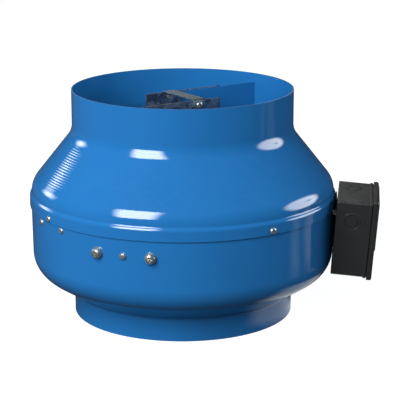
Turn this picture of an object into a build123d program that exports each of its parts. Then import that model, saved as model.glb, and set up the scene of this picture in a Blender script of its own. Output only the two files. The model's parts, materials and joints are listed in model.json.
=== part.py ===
"""Inline duct fan, 250 mm nominal: spun steel casing, external-rotor motor, backward-curved impeller.

Frame: the origin is on the fan's axis, in the plane of the inlet rim. +Z is the way the air leaves,
and +X passes through the middle of the terminal box. Everything is in millimetres and degrees.
"""
from build123d import *
import math
import os

os.makedirs("parts", exist_ok=True)

# ---------------------------------------------------------------- driving dimensions: casing
duct_radius = 124.0            # outside of both spigots
overall_height = 255.0
casing_sheet = 1.2
inlet_spigot_height = 25.7
dish_angle = 32.4              # rise of the inlet dish from the horizontal
dish_foot_bend = 4.0
dish_bend = 30.0
band_foot_radius = 169.95      # the band opens slightly towards the joint
band_draft = 0.8               # degrees
band_length = 80.14            # from the dish's corner to the band's free edge
joint_gap = 0.3                # between the band and the skirt that covers it
skirt_overlap = 9.5            # of the skirt down over the band
skirt_height = 12.0
joggle_height = 2.9
joggle_step = 2.3
skirt_bend = 2.2
joggle_bend = 1.4
shoulder_bend = 24.0
shoulder_flat = 0.1
cone_angle = 38.55             # from the vertical
spigot_bend = 25.0

# ---------------------------------------------------------------- driving dimensions: carrier
carrier_azimuth = 40.0         # direction of the strut and of the bracket
strut_sheet = 2.0
strut_web_drop = 7.0           # below the band's free edge
strut_lip_height = 12.0
strut_tab_height = 16.0
strut_notch_width = 14.0
strut_notch_depth = 12.0
strut_lip_end_gap = 9.0
strut_rivet_drop = 7.4         # below the web
strut_rivet_angle = 7.3        # each side of the strut's own direction
strut_hole_gap = 0.15
bracket_sheet = 1.5
bracket_half_width = 31.0
bracket_length = 58.8
bracket_arm = 42.0             # of each wall beyond the floor, on the side of its vane
bracket_rim_drop = 9.5         # below the outlet rim
bracket_bend = 2.0
strap_sheet = 1.2
strap_width = 15.5
strap_offset = 1.2             # of the strap's middle, along the carrier
strap_leg = 22.0
strap_bend = 2.4
strap_rivet_drop = 6.4
vane_sheet = 1.2
vane_foot_gap = 1.0
vane_wall_gap = 0.5
vane_top_drop = 0.6
vane_lap = 9.0                 # of each vane inwards from the end of the bracket's floor
vane_rivet_spacing = 60.0
seat_gap = 0.1                 # between sheets that lie on each other

# ---------------------------------------------------------------- driving dimensions: fasteners
rivet_shank = 2.0
rivet_head = 3.7
rivet_head_height = 1.6
rivet_mouth = 1.15
rivet_mouth_depth = 0.9
rivet_tail = 2.8
rivet_tail_length = 2.6
hole_gap = 0.05                # of a shank in its hole
flange_rivet_rise = 3.9        # above the skirt's lower edge
mounting_azimuth = -104.7      # middle of the pair of bracket screws
mounting_drop = 28.0           # below the band's free edge
mounting_spacing = 60.0
mounting_screw = 3.0
mounting_head = 5.8
mounting_head_height = 4.2
mounting_standoff = 1.0
mounting_length = 15.0
insert_flange = 6.4
insert_flange_height = 0.9
insert_body = 4.5
insert_length = 12.0
locating_rivet_head = 3.8
locating_rivet_head_height = 2.6
recess_width = 1.3
recess_span = 6.4
recess_depth = 2.0

# ---------------------------------------------------------------- driving dimensions: motor
motor_flange_radius = 46.0
motor_flange_height = 6.0
bearing_tube_radius = 14.0
bearing_radius = 11.0
bearing_width = 7.0
bearing_shoulder = 9.0
bearing_fit = 0.02
bearing_shield_depth = 0.4
shaft_radius = 4.0
shaft_fit = 0.03
upper_bearing_drop = 4.0       # of its top face below the flange
bearing_pitch = 44.5
tube_overrun = 0.7
stator_radius = 40.3
air_gap = 0.5
stack_height = 40.0
stack_drop = 12.0              # of its top face below the flange
slot_count = 12
slot_width = 5.0
slot_inner = 19.0
slot_outer = 37.0
slot_mouth = 2.0
winding_gap = 0.2
winding_overhang = 7.5
winding_bend = 3.0
rotor_radius = 51.0
rotor_wall = 2.5
rotor_floor = 3.0
rotor_bend = 6.0
rotor_rim_drop = 3.5           # below the motor flange
rotor_height = 64.5
rotor_hub_radius = 9.0
rotor_hub_gap = 1.0            # below the lower bearing
rotor_vent_count = 6
rotor_vent_radius = 4.5
rotor_vent_pitch_radius = 30.0
motor_screw = 2.5
motor_screw_head = 4.5
motor_screw_head_height = 3.5
motor_screw_offset = 18.0
motor_screw_bite = 5.0
circlip_thickness = 1.0
circlip_width = 2.6
circlip_groove = 0.4
circlip_gap_angle = 50.0
shaft_overrun = 1.8

# ---------------------------------------------------------------- driving dimensions: impeller
impeller_radius = 112.0
impeller_sheet = 1.5
backplate_drop = 6.0           # of its top face below the motor flange
rotor_ring_radius = 62.0
rotor_ring_height = 1.5
ring_rivet_count = 6
ring_rivet_radius = 57.0
ring_rivet_shank = 1.8
ring_rivet_head = 3.2
ring_rivet_head_height = 1.3
blade_count = 8
blade_inner = 74.0
blade_tip_gap = 0.5
blade_throat_gap = 3.0         # above the inlet cone's throat
blade_sweep = 38.0
blade_curve = 72.0
shroud_sheet = 1.2
shroud_eye = 78.2
shroud_overlap = 4.0           # of the shroud's neck down past the cone's throat
shroud_neck = 7.0
shroud_rise = 10.0
shroud_bend = 6.0
clip_count = 2
clip_reach = 6.0
clip_length = 8.0
clip_sheet = 0.8

# ---------------------------------------------------------------- driving dimensions: inlet cone
cone_sheet = 1.2
cone_foot = 4.0
cone_skirt = 11.0
cone_rise = 14.0
cone_throat = 75.0
cone_throat_height = 50.0
cone_skirt_bend = 4.0
cone_mouth_bend = 20.0

# ---------------------------------------------------------------- driving dimensions: motor lead
lead_radius = 2.8
lead_web_gap = 0.6
lead_start = 29.0
lead_gap = 0.1
saddle_sheet = 1.0
saddle_width = 8.0
saddle_foot = 7.0
saddle_inner_place = 76.0
saddle_outer_place = 112.0
lead_leave = 136.0             # along the strut, where the lead turns off it
lead_swing_along = 132.6       # the lead's bend beside the casing's wall
lead_swing_across = 53.6
lead_swing_drop = 14.0
lead_approach = 33.0           # of the lead's last bend, from the box's back face
saddle_rivet_shank = 1.2
saddle_rivet_head = 2.0
saddle_rivet_head_height = 0.8
grommet_neck = 6.0
grommet_flange = 8.5
grommet_lip = 1.2

# ---------------------------------------------------------------- driving dimensions: terminal box
box_standoff = 1.93            # of the box's back face from the band, at the middle of the box
box_middle_rise = 0.9          # of that middle, above the middle of the bare band
box_tilt = 4.2                 # the box's top leans away from the casing
box_width = 92.6
box_rise = 84.8
box_depth = 38.6
box_wall = 2.2
box_corner = 3.0
box_back_bend = 1.0
box_lip = 1.2
box_lip_depth = 3.0
post_radius = 4.2
post_inset_side = 8.5
post_inset_end = 8.4
post_drop = 0.5
pilot_radius = 1.6
pilot_depth = 22.0
box_screw = 2.0
box_screw_head = 3.6
box_screw_head_height = 2.4
box_screw_across = 14.0        # of the two upper screws, each side of the box's middle
spacer_skirt_gap = 1.3         # between the spacers and the skirt above them
box_screw_rise = 0.2           # of the lower screw, above the dish's bend
box_screw_grip = 10.5
box_nut = 4.0
box_nut_height = 3.2
box_nut_gap = 0.4
spacer_radius = 4.0
spacer_gap = 0.3
grommet_nut_gap = 1.5          # between the grommet and the upper nuts
seal_spacer_gap = 0.6          # between the rubber seal and the spacers beside it
seal_bottom = -22.0            # from the middle of the box's back
seal_top_back = 29.0           # top of the seal where it meets the box's back
seal_skirt_cover = 1.4         # of the seal over the skirt's upper edge
seal_grommet_gap = 0.3
lead_entry_gap = 1.2
knockout_side_rise = 20.0
knockout_side_out = 17.7
knockout_side_radius = 7.4
knockout_top_offset = 14.0
knockout_top_out = 18.0
knockout_top_radius = 8.0
knockout_groove = 0.7
knockout_groove_depth = 0.8
knockout_ring_gap = 1.3
knockout_ring = 0.8
knockout_ring_height = 0.4
gasket_height = 1.0
gasket_inset = 1.0
gasket_width = 1.1
lid_overhang_end = 2.9
lid_overhang_side = 0.7
lid_depth = 5.8
lid_wall = 2.2
lid_corner = 3.5
lid_edge = 2.2
lid_panel_height = 0.9
lid_panel_start = -11.8
lid_panel_inset = 1.6
lid_rib_depth = 2.6
lid_rib_width = 1.2
lid_rib_gap = 0.4
lid_boss = 5.0
lid_boss_gap = 0.2
lid_screw = 1.45
lid_screw_gap = 0.25
lid_screw_head = 3.3
lid_screw_head_height = 1.8
lid_screw_head_drop = 0.4
lid_screw_length = 17.0

# ---------------------------------------------------------------- driving dimensions: inside the box
block_length = 50.0
block_width = 18.0
block_height = 16.0
block_rise = 24.0              # of its middle, above the box's middle
block_foot_height = 3.8
block_foot_length = 6.0
block_foot_inset = 1.0
pole_count = 5
pole_pitch = 9.6
pole_well = 2.7
pole_well_depth = 5.5
pole_screw = 2.4
pole_screw_height = 2.6
pole_slot_width = 0.7
pole_slot_depth = 0.9
pole_entry = 1.8
pole_entry_height = 5.0
capacitor_radius = 13.0
capacitor_length = 50.0
capacitor_rise = -13.0
capacitor_gap = 0.2
capacitor_cap = 10.5
capacitor_cap_height = 1.4
capacitor_tag_offset = 3.0
capacitor_riser = 4.0
capacitor_riser_step = 3.0
riser_post_gap = 1.6           # between the outer riser and the lid's posts
wire_radius = 0.8
wire_bend = 1.0
wire_riser = 3.0
wire_level_step = 2.2
wire_turn = 1.5
wire_lead_in = 3.0
wire_bite = 2.5
lead_core_offset = 1.25
lead_tail = 6.0

# ---------------------------------------------------------------- worked out: casing
carrier_cos = math.cos(math.radians(carrier_azimuth))
carrier_sin = math.sin(math.radians(carrier_azimuth))


def band_radius(height):
    """Outside radius of the straight band at a height."""
    return band_foot_radius + (height - dish_top) * math.tan(math.radians(band_draft))


def bend_reach(radius, angle):
    """Distance from a corner to where its bend starts."""
    return radius * math.tan(math.radians(angle) / 2)


dish_top = inlet_spigot_height + (band_foot_radius - duct_radius) * math.tan(math.radians(dish_angle))
dish_bend_top = dish_top + bend_reach(dish_bend, 90 - dish_angle - band_draft)
band_top = dish_top + band_length
band_top_radius = band_radius(band_top)
skirt_bottom = band_top - skirt_overlap
skirt_radius = band_top_radius + joint_gap + casing_sheet
skirt_top = skirt_bottom + skirt_height
joggle_top = skirt_top + joggle_height
shoulder_radius = skirt_radius - joggle_step
joggle_angle = math.degrees(math.atan2(joggle_step, joggle_height))
shoulder_height = (joggle_top + bend_reach(joggle_bend + casing_sheet, joggle_angle)
                   + bend_reach(shoulder_bend, cone_angle) + shoulder_flat)
cone_top = shoulder_height + (shoulder_radius - duct_radius) / math.tan(math.radians(cone_angle))

inlet_line = [(duct_radius, 0), (duct_radius, inlet_spigot_height), (band_foot_radius, dish_top),
              (band_top_radius, band_top)]
inlet_bends = [dish_foot_bend, dish_bend]
outlet_line = [(skirt_radius, skirt_bottom), (skirt_radius, skirt_top), (shoulder_radius, joggle_top),
               (shoulder_radius, shoulder_height), (duct_radius, cone_top), (duct_radius, overall_height)]
outlet_bends = [skirt_bend, joggle_bend, shoulder_bend, spigot_bend]


def shifted_line(points, bends, depth):
    """The same outline, moved by depth to the side of the axis, with its bends to match."""
    steps = []
    for start, end in zip(points, points[1:]):
        length = math.hypot(end[0] - start[0], end[1] - start[1])
        steps.append(((end[0] - start[0]) / length, (end[1] - start[1]) / length))
    moved = [(points[0][0] - steps[0][1] * depth, points[0][1] + steps[0][0] * depth)]
    moved_bends = []
    for corner, before, after, bend in zip(points[1:-1], steps, steps[1:], bends):
        share = depth / (1 + before[0] * after[0] + before[1] * after[1])
        moved.append((corner[0] - (before[1] + after[1]) * share, corner[1] + (before[0] + after[0]) * share))
        turns_inward = before[0] * after[1] > before[1] * after[0]
        moved_bends.append(bend - depth if turns_inward else bend + depth)
    moved.append((points[-1][0] - steps[-1][1] * depth, points[-1][1] + steps[-1][0] * depth))
    return moved, moved_bends


def spun_sheet(points, bends, thickness):
    """A sheet-metal shell turned about the axis: points give its outer side."""
    inner_points, inner_bends = shifted_line(points, bends, thickness)
    with BuildPart() as shell:
        with BuildSketch(Plane.XZ):
            with BuildLine():
                outer = FilletPolyline(*points, radius=bends)
                inner = FilletPolyline(*inner_points, radius=inner_bends)
                Line(outer @ 0, inner @ 0)
                Line(outer @ 1, inner @ 1)
            make_face()
        revolve(axis=Axis.Z)
    return shell.part


def radial_plane(azimuth, radius, height, dip=0):
    """A plane that faces out from the axis, turned down by dip, with its X along the circumference."""
    angle = math.radians(azimuth)
    level = math.cos(math.radians(dip))
    outward = (math.cos(angle) * level, math.sin(angle) * level, -math.sin(math.radians(dip)))
    around = (-math.sin(angle), math.cos(angle), 0)
    origin = (radius * math.cos(angle), radius * math.sin(angle), height)
    return Plane(origin=origin, x_dir=around, z_dir=outward)


def band_plane(azimuth, height):
    """A plane that lies on the outside of the band."""
    return radial_plane(azimuth, band_radius(height), height, band_draft)


def turned(outline):
    """A solid turned about Z from a closed outline of (radius, height) points."""
    with BuildPart() as solid:
        with BuildSketch(Plane.XZ):
            with BuildLine():
                Polyline(*outline, close=True)
            make_face()
        revolve(axis=Axis.Z)
    return solid.part


def blind_rivet(grip):
    """Hollow-headed blind rivet: Z = 0 is under its head, the shank goes down through grip."""
    tail_top = -grip - seat_gap
    with BuildPart() as rivet:
        with BuildSketch(Plane.XZ):
            with BuildLine():
                Polyline((0, -rivet_mouth_depth), (rivet_mouth, -rivet_mouth_depth),
                         (rivet_mouth, rivet_head_height))
                ThreePointArc((rivet_mouth, rivet_head_height),
                              ((rivet_mouth + rivet_head) / 2 + 0.4, rivet_head_height * 0.8),
                              (rivet_head, 0))
                Polyline((rivet_head, 0), (rivet_shank, 0), (rivet_shank, tail_top), (rivet_tail, tail_top),
                         (rivet_tail, tail_top - rivet_tail_length), (0, tail_top - rivet_tail_length),
                         (0, -rivet_mouth_depth))
            make_face()
        revolve(axis=Axis.Z)
    return rivet.part


def cross_recess(part_top):
    """The four-winged hollow in a screw's head, as a solid that reaches down from part_top."""
    with BuildPart() as hollow:
        with BuildSketch(Plane.XY.offset(part_top - recess_depth)):
            Rectangle(recess_span, recess_width)
            Rectangle(recess_width, recess_span)
        extrude(amount=recess_depth + 1)
    return hollow.part


def pan_screw(shank, length, head, head_height, recessed=True):
    """Screw with a domed head: Z = 0 is under its head."""
    with BuildPart() as screw:
        with BuildSketch(Plane.XZ):
            with BuildLine():
                Polyline((0, head_height), (head * 0.45, head_height))
                ThreePointArc((head * 0.45, head_height), (head * 0.86, head_height * 0.72),
                              (head, head_height * 0.25))
                Polyline((head, head_height * 0.25), (head, 0), (shank, 0), (shank, -length), (0, -length),
                         (0, head_height))
            make_face()
        revolve(axis=Axis.Z)
        if recessed:
            add(cross_recess(head_height), mode=Mode.SUBTRACT)
    return screw.part


# ---------------------------------------------------------------- worked out: carrier
strut_web_bottom = band_top - strut_web_drop
strut_web_top = strut_web_bottom + strut_sheet
strut_lip_inner = bracket_half_width + joint_gap
strut_half_width = strut_lip_inner + strut_sheet
strut_tab_bottom = strut_web_bottom - strut_tab_height
strut_end_radius = band_radius(strut_tab_bottom) - casing_sheet - seat_gap
strut_rivet_height = strut_web_bottom - strut_rivet_drop
bracket_floor_top = strut_web_top + bracket_sheet
bracket_top = overall_height - bracket_rim_drop
flange_rivet_height = skirt_bottom + flange_rivet_rise
carrier_along = Vector(carrier_cos, carrier_sin, 0)
carrier_across = Vector(-carrier_sin, carrier_cos, 0)
carrier_plane = Plane(origin=(0, 0, 0), x_dir=carrier_along, z_dir=(0, 0, 1))
carrier_section = Plane(origin=(0, 0, 0), x_dir=carrier_across, z_dir=carrier_along)
carrier_side = Plane(origin=(0, 0, 0), x_dir=carrier_along, z_dir=-carrier_across)

flange_rivet_places = [radial_plane(carrier_azimuth + 90 * turn, skirt_radius, flange_rivet_height)
                       for turn in range(4)]
flange_rivet_grip = skirt_radius - (band_radius(flange_rivet_height) - casing_sheet)
strut_rivet_places = [band_plane(carrier_azimuth + end + side * strut_rivet_angle, strut_rivet_height)
                      for end in (0, 180) for side in (-1, 1)]
strut_rivet_grip = band_radius(strut_rivet_height) - strut_end_radius + strut_sheet
mounting_height = band_top - mounting_drop
mounting_radius = band_radius(mounting_height)
mounting_half_angle = math.degrees(math.asin(mounting_spacing / 2 / mounting_radius))
mounting_places = [band_plane(mounting_azimuth + side * mounting_half_angle, mounting_height)
                   for side in (-1, 1)]
locating_place = band_plane(mounting_azimuth, mounting_height)

# ---------------------------------------------------------------- worked out: motor and impeller
motor_flange_bottom = strut_web_bottom - motor_flange_height
upper_bearing_top = motor_flange_bottom - upper_bearing_drop
upper_bearing_bottom = upper_bearing_top - bearing_width
lower_bearing_bottom = upper_bearing_bottom - bearing_pitch
lower_bearing_top = lower_bearing_bottom + bearing_width
bearing_tube_bottom = lower_bearing_bottom - tube_overrun
stack_top = motor_flange_bottom - stack_drop
stack_bottom = stack_top - stack_height
rotor_top = motor_flange_bottom - rotor_rim_drop
rotor_bottom = rotor_top - rotor_height
rotor_hub_top = lower_bearing_bottom - rotor_hub_gap
backplate_top = motor_flange_bottom - backplate_drop
backplate_bottom = backplate_top - impeller_sheet
shroud_bottom = cone_throat_height - shroud_overlap
shroud_line = [(shroud_eye + shroud_sheet, shroud_bottom),
               (shroud_eye + shroud_sheet, shroud_bottom + shroud_neck),
               (impeller_radius, shroud_bottom + shroud_neck + shroud_rise)]

# ---------------------------------------------------------------- worked out: terminal box
box_height = (dish_bend_top + skirt_bottom) / 2 + box_middle_rise
box_radius = band_radius(box_height) + box_standoff
tilt_cos = math.cos(math.radians(box_tilt))
tilt_sin = math.sin(math.radians(box_tilt))
box_plane = Plane(origin=(box_radius, 0, box_height), x_dir=(0, 1, 0), z_dir=(tilt_cos, 0, -tilt_sin))
box_axis = Axis(origin=box_plane.origin, direction=box_plane.z_dir)
box_rim = box_depth
lid_bottom = box_rim + gasket_height
lid_face = lid_bottom + lid_depth
post_places = [(side * (box_width / 2 - post_inset_side), end * (box_rise / 2 - post_inset_end))
               for side in (-1, 1) for end in (-1, 1)]
box_screw_upper = (skirt_bottom - spacer_skirt_gap - spacer_radius - box_height) / tilt_cos
box_screw_lower = (dish_bend_top + box_screw_rise - box_height) / tilt_cos
spacer_places = [(-box_screw_across, box_screw_upper), (box_screw_across, box_screw_upper)]
box_screw_places = [*spacer_places, (0, box_screw_lower)]
lead_entry = box_screw_upper - box_nut - grommet_nut_gap - grommet_flange


def box_point(across, up, out):
    """A point given across, up and out from the box's back face, in the fan's frame."""
    return box_plane.from_local_coords((across, up, out))


def wall_gap(up, across, inset=0):
    """Distance from the box's back plane to the band, or to a surface that lies inset within it."""
    place = box_point(0, up, 0)
    reach = math.sqrt((band_radius(place.Z) - inset)**2 - across**2)
    return (place.X - reach) / tilt_cos


# ================================================================ casing
with BuildPart() as inlet_casing:
    add(spun_sheet(inlet_line, inlet_bends, casing_sheet))
    with Locations(*flange_rivet_places):
        Cylinder(rivet_shank + hole_gap, 4 * flange_rivet_grip, mode=Mode.SUBTRACT)
    with Locations(*strut_rivet_places):
        Cylinder(rivet_shank + hole_gap, 2 * strut_rivet_grip, mode=Mode.SUBTRACT)
    with Locations(*mounting_places):
        Cylinder(insert_body + hole_gap, 4 * casing_sheet, mode=Mode.SUBTRACT)
    with Locations(locating_place):
        Cylinder(rivet_shank + hole_gap, 4 * casing_sheet, mode=Mode.SUBTRACT)
    with BuildSketch(box_plane):
        with Locations((0, lead_entry)):
            Circle(grommet_neck + hole_gap)
        with Locations(*box_screw_places):
            Circle(box_screw + lead_gap)
    extrude(amount=-box_screw_grip, mode=Mode.SUBTRACT)
inlet_casing.part.label = "inlet_casing"
export_step(inlet_casing.part, "parts/inlet_casing.step")

with BuildPart() as outlet_casing:
    add(spun_sheet(outlet_line, outlet_bends, casing_sheet))
    with Locations(*flange_rivet_places):
        Cylinder(rivet_shank + hole_gap, 4 * casing_sheet, mode=Mode.SUBTRACT)
outlet_casing.part.label = "outlet_casing"
export_step(outlet_casing.part, "parts/outlet_casing.step")

cone_skirt_radius = duct_radius - casing_sheet - seat_gap
cone_line = [(cone_skirt_radius, cone_foot), (cone_skirt_radius, cone_foot + cone_skirt),
             (cone_throat + cone_sheet, cone_foot + cone_skirt + cone_rise),
             (cone_throat + cone_sheet, cone_throat_height)]
with BuildPart() as inlet_cone:
    add(spun_sheet(cone_line, [cone_skirt_bend, cone_mouth_bend], cone_sheet))
inlet_cone.part.label = "inlet_cone"
export_step(inlet_cone.part, "parts/inlet_cone.step")

# ================================================================ carrier
motor_screw_places = [(across * motor_screw_offset, along * motor_screw_offset)
                      for across in (-1, 1) for along in (-1, 1)]
saddle_rivet_places = [(place, side * (lead_radius + saddle_sheet + saddle_foot / 2))
                       for place in (saddle_inner_place, saddle_outer_place) for side in (-1, 1)]
with BuildPart() as support_strut:
    with BuildSketch(carrier_plane.offset(strut_web_bottom)):
        Circle(strut_end_radius)
        Rectangle(2 * strut_end_radius, 2 * strut_half_width, mode=Mode.INTERSECT)
    extrude(amount=strut_sheet)
    with BuildSketch(carrier_plane.offset(strut_tab_bottom)):
        Circle(strut_end_radius)
        Circle(strut_end_radius - strut_sheet, mode=Mode.SUBTRACT)
        Rectangle(2 * strut_end_radius, 2 * strut_half_width, mode=Mode.INTERSECT)
    extrude(amount=strut_tab_height)
    with BuildSketch(carrier_plane.offset(strut_web_top)):
        with Locations((0, strut_half_width - strut_sheet / 2), (0, -strut_half_width + strut_sheet / 2)):
            Rectangle(2 * (strut_end_radius - strut_lip_end_gap), strut_sheet)
    extrude(amount=strut_lip_height)
    with BuildSketch(carrier_plane.offset(strut_tab_bottom)):
        with Locations((strut_end_radius, 0), (-strut_end_radius, 0)):
            Rectangle(2 * strut_notch_depth, strut_notch_width)
    extrude(amount=strut_tab_height + strut_sheet, mode=Mode.SUBTRACT)
    with BuildSketch(carrier_plane.offset(strut_web_bottom)):
        with Locations(*motor_screw_places):
            Circle(motor_screw + lead_gap)
        with Locations(*saddle_rivet_places):
            Circle(saddle_rivet_shank + hole_gap)
    extrude(amount=strut_sheet, mode=Mode.SUBTRACT)
    with Locations(*strut_rivet_places):
        Cylinder(rivet_shank + strut_hole_gap, 4 * strut_rivet_grip, mode=Mode.SUBTRACT)
support_strut.part.label = "support_strut"
export_step(support_strut.part, "parts/support_strut.step")

strap_rivet_height = bracket_top - strap_rivet_drop + strap_sheet
vane_side = bracket_half_width - bracket_sheet - seat_gap - vane_sheet
vane_start = bracket_length / 2 - vane_lap
vane_bottom = strut_web_top + strut_lip_height + vane_foot_gap
vane_top = bracket_top - vane_top_drop
vane_rivet_along = (bracket_length + bracket_arm) / 2
vane_rivet_middle = (vane_bottom + vane_top) / 2
vane_rivet_heights = [vane_rivet_middle - vane_rivet_spacing / 2, vane_rivet_middle + vane_rivet_spacing / 2]
with BuildPart() as motor_bracket:
    with BuildSketch(carrier_section.offset(-bracket_length / 2)):
        with BuildLine():
            outer = FilletPolyline((-bracket_half_width, bracket_top), (-bracket_half_width, strut_web_top),
                                   (bracket_half_width, strut_web_top), (bracket_half_width, bracket_top),
                                   radius=bracket_bend)
            inner = FilletPolyline((-bracket_half_width + bracket_sheet, bracket_top),
                                   (-bracket_half_width + bracket_sheet, bracket_floor_top),
                                   (bracket_half_width - bracket_sheet, bracket_floor_top),
                                   (bracket_half_width - bracket_sheet, bracket_top),
                                   radius=bracket_bend - bracket_sheet)
            Line(outer @ 0, inner @ 0)
            Line(outer @ 1, inner @ 1)
        make_face()
    extrude(amount=bracket_length)
    for side in (-1, 1):
        with BuildSketch(carrier_plane.offset(vane_bottom)):
            with Locations((side * (bracket_length + bracket_arm) / 2,
                            side * (bracket_half_width - bracket_sheet / 2))):
                Rectangle(bracket_arm, bracket_sheet)
        extrude(amount=bracket_top - vane_bottom)
    with BuildSketch(carrier_plane.offset(strut_web_top)):
        with Locations(*motor_screw_places):
            Circle(motor_screw + lead_gap)
    extrude(amount=bracket_sheet, mode=Mode.SUBTRACT)
    with BuildSketch(carrier_side):
        with Locations((strap_offset, strap_rivet_height)):
            Circle(rivet_shank + hole_gap)
    extrude(amount=2 * bracket_half_width, both=True, mode=Mode.SUBTRACT)
    with BuildSketch(carrier_side):
        with Locations(*[(vane_rivet_along, height) for height in vane_rivet_heights]):
            Circle(rivet_shank + hole_gap)
    extrude(amount=-2 * bracket_half_width, mode=Mode.SUBTRACT)
    with BuildSketch(carrier_side):
        with Locations(*[(-vane_rivet_along, height) for height in vane_rivet_heights]):
            Circle(rivet_shank + hole_gap)
    extrude(amount=2 * bracket_half_width, mode=Mode.SUBTRACT)
motor_bracket.part.label = "motor_bracket"
export_step(motor_bracket.part, "parts/motor_bracket.step")

strap_inner = bracket_half_width + seat_gap
strap_outer = strap_inner + strap_sheet
strap_under = bracket_top + seat_gap
strap_top = strap_under + strap_sheet
with BuildPart() as tie_strap:
    with BuildSketch(carrier_section.offset(strap_offset - strap_width / 2)):
        with BuildLine():
            outer = FilletPolyline((-strap_outer, bracket_top - strap_leg), (-strap_outer, strap_top),
                                   (strap_outer, strap_top), (strap_outer, bracket_top - strap_leg),
                                   radius=strap_bend)
            inner = Polyline((-strap_inner, bracket_top - strap_leg), (-strap_inner, strap_under),
                             (strap_inner, strap_under), (strap_inner, bracket_top - strap_leg))
            Line(outer @ 0, inner @ 0)
            Line(outer @ 1, inner @ 1)
        make_face()
    extrude(amount=strap_width)
    with BuildSketch(carrier_side):
        with Locations((strap_offset, strap_rivet_height)):
            Circle(rivet_shank + hole_gap)
    extrude(amount=2 * bracket_half_width, both=True, mode=Mode.SUBTRACT)
tie_strap.part.label = "tie_strap"
export_step(tie_strap.part, "parts/tie_strap.step")

air_line, air_bends = shifted_line(outlet_line, outlet_bends, casing_sheet + vane_wall_gap)


def guide_vane():
    """One flat vane, from the bracket to the casing's wall, on the +b side of the carrier."""
    with BuildPart() as vane:
        with BuildSketch(carrier_side.offset(-vane_side - vane_sheet)):
            with Locations((vane_start, vane_bottom)):
                Rectangle(skirt_radius, vane_top - vane_bottom, align=(Align.MIN, Align.MIN))
            with Locations(*[(vane_rivet_along, height) for height in vane_rivet_heights]):
                Circle(rivet_shank + hole_gap, mode=Mode.SUBTRACT)
        extrude(amount=vane_sheet)
        with BuildSketch(Plane.XZ):
            with BuildLine():
                wall = FilletPolyline(*air_line, radius=air_bends)
                Polyline(wall @ 1, (0, overall_height), (0, skirt_bottom), wall @ 0)
            make_face()
        revolve(axis=Axis.Z, mode=Mode.INTERSECT)
    return vane.part


with BuildPart() as guide_vane_1:
    add(guide_vane())
guide_vane_1.part.label = "guide_vane_1"
export_step(guide_vane_1.part, "parts/guide_vane_1.step")

with BuildPart() as guide_vane_2:
    add(guide_vane().rotate(Axis.Z, 180))
guide_vane_2.part.label = "guide_vane_2"
export_step(guide_vane_2.part, "parts/guide_vane_2.step")

# ================================================================ rivets and bracket screws
with BuildPart() as flange_rivets:
    with Locations(*flange_rivet_places):
        add(blind_rivet(flange_rivet_grip))
flange_rivets.part.label = "flange_rivets"
export_step(flange_rivets.part, "parts/flange_rivets.step")

with BuildPart() as strut_rivets:
    with Locations(*strut_rivet_places):
        add(blind_rivet(strut_rivet_grip))
strut_rivets.part.label = "strut_rivets"
export_step(strut_rivets.part, "parts/strut_rivets.step")


strap_rivet_places = [Plane(origin=carrier_plane.from_local_coords((strap_offset, side * strap_outer,
                                                                    strap_rivet_height)),
                            x_dir=carrier_plane.x_dir, z_dir=carrier_plane.y_dir * side)
                      for side in (-1, 1)]
with BuildPart() as strap_rivets:
    with Locations(*strap_rivet_places):
        add(blind_rivet(strap_outer - bracket_half_width + bracket_sheet))
strap_rivets.part.label = "strap_rivets"
export_step(strap_rivets.part, "parts/strap_rivets.step")

vane_rivet_places = [Plane(origin=carrier_plane.from_local_coords((side * vane_rivet_along,
                                                                   side * bracket_half_width, height)),
                           x_dir=carrier_plane.x_dir, z_dir=carrier_plane.y_dir * side)
                     for side in (-1, 1) for height in vane_rivet_heights]
with BuildPart() as vane_rivets:
    with Locations(*vane_rivet_places):
        add(blind_rivet(bracket_half_width - vane_side))
vane_rivets.part.label = "vane_rivets"
export_step(vane_rivets.part, "parts/vane_rivets.step")

with BuildPart() as mounting_inserts:
    with Locations(*mounting_places):
        add(turned([(mounting_screw + hole_gap, insert_flange_height), (insert_flange, insert_flange_height),
                    (insert_flange, 0), (insert_body, 0), (insert_body, -insert_length),
                    (mounting_screw + hole_gap, -insert_length)]))
mounting_inserts.part.label = "mounting_inserts"
export_step(mounting_inserts.part, "parts/mounting_inserts.step")

with BuildPart() as mounting_screws:
    with Locations(*[place.offset(insert_flange_height + mounting_standoff) for place in mounting_places]):
        add(pan_screw(mounting_screw, mounting_length, mounting_head, mounting_head_height))
mounting_screws.part.label = "mounting_screws"
export_step(mounting_screws.part, "parts/mounting_screws.step")

with BuildPart() as locating_rivet:
    with Locations(locating_place):
        add(pan_screw(rivet_shank, casing_sheet + seat_gap + 1, locating_rivet_head, locating_rivet_head_height,
                      recessed=False))
locating_rivet.part.label = "locating_rivet"
export_step(locating_rivet.part, "parts/locating_rivet.step")

# ================================================================ motor, standing part
with BuildPart() as motor_flange:
    with BuildSketch(Plane.XZ):
        with BuildLine():
            Polyline((bearing_radius + bearing_fit, strut_web_bottom), (motor_flange_radius, strut_web_bottom),
                     (motor_flange_radius, motor_flange_bottom), (bearing_tube_radius, motor_flange_bottom),
                     (bearing_tube_radius, bearing_tube_bottom),
                     (bearing_radius + bearing_fit, bearing_tube_bottom),
                     (bearing_radius + bearing_fit, lower_bearing_top), (bearing_shoulder, lower_bearing_top),
                     (bearing_shoulder, upper_bearing_bottom),
                     (bearing_radius + bearing_fit, upper_bearing_bottom),
                     close=True)
        make_face()
    revolve(axis=Axis.Z)
    with BuildSketch(carrier_plane.offset(motor_flange_bottom)):
        with Locations((lead_start - lead_radius, 0)):
            Rectangle(motor_flange_radius, 2 * (lead_radius + lead_gap), align=(Align.MIN, Align.CENTER))
    extrude(amount=motor_flange_height, mode=Mode.SUBTRACT)
    with BuildSketch(carrier_plane.offset(strut_web_bottom)):
        with Locations(*motor_screw_places):
            Circle(motor_screw + bearing_fit)
    extrude(amount=-motor_screw_bite, mode=Mode.SUBTRACT)
motor_flange.part.label = "motor_flange"
export_step(motor_flange.part, "parts/motor_flange.step")

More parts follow.
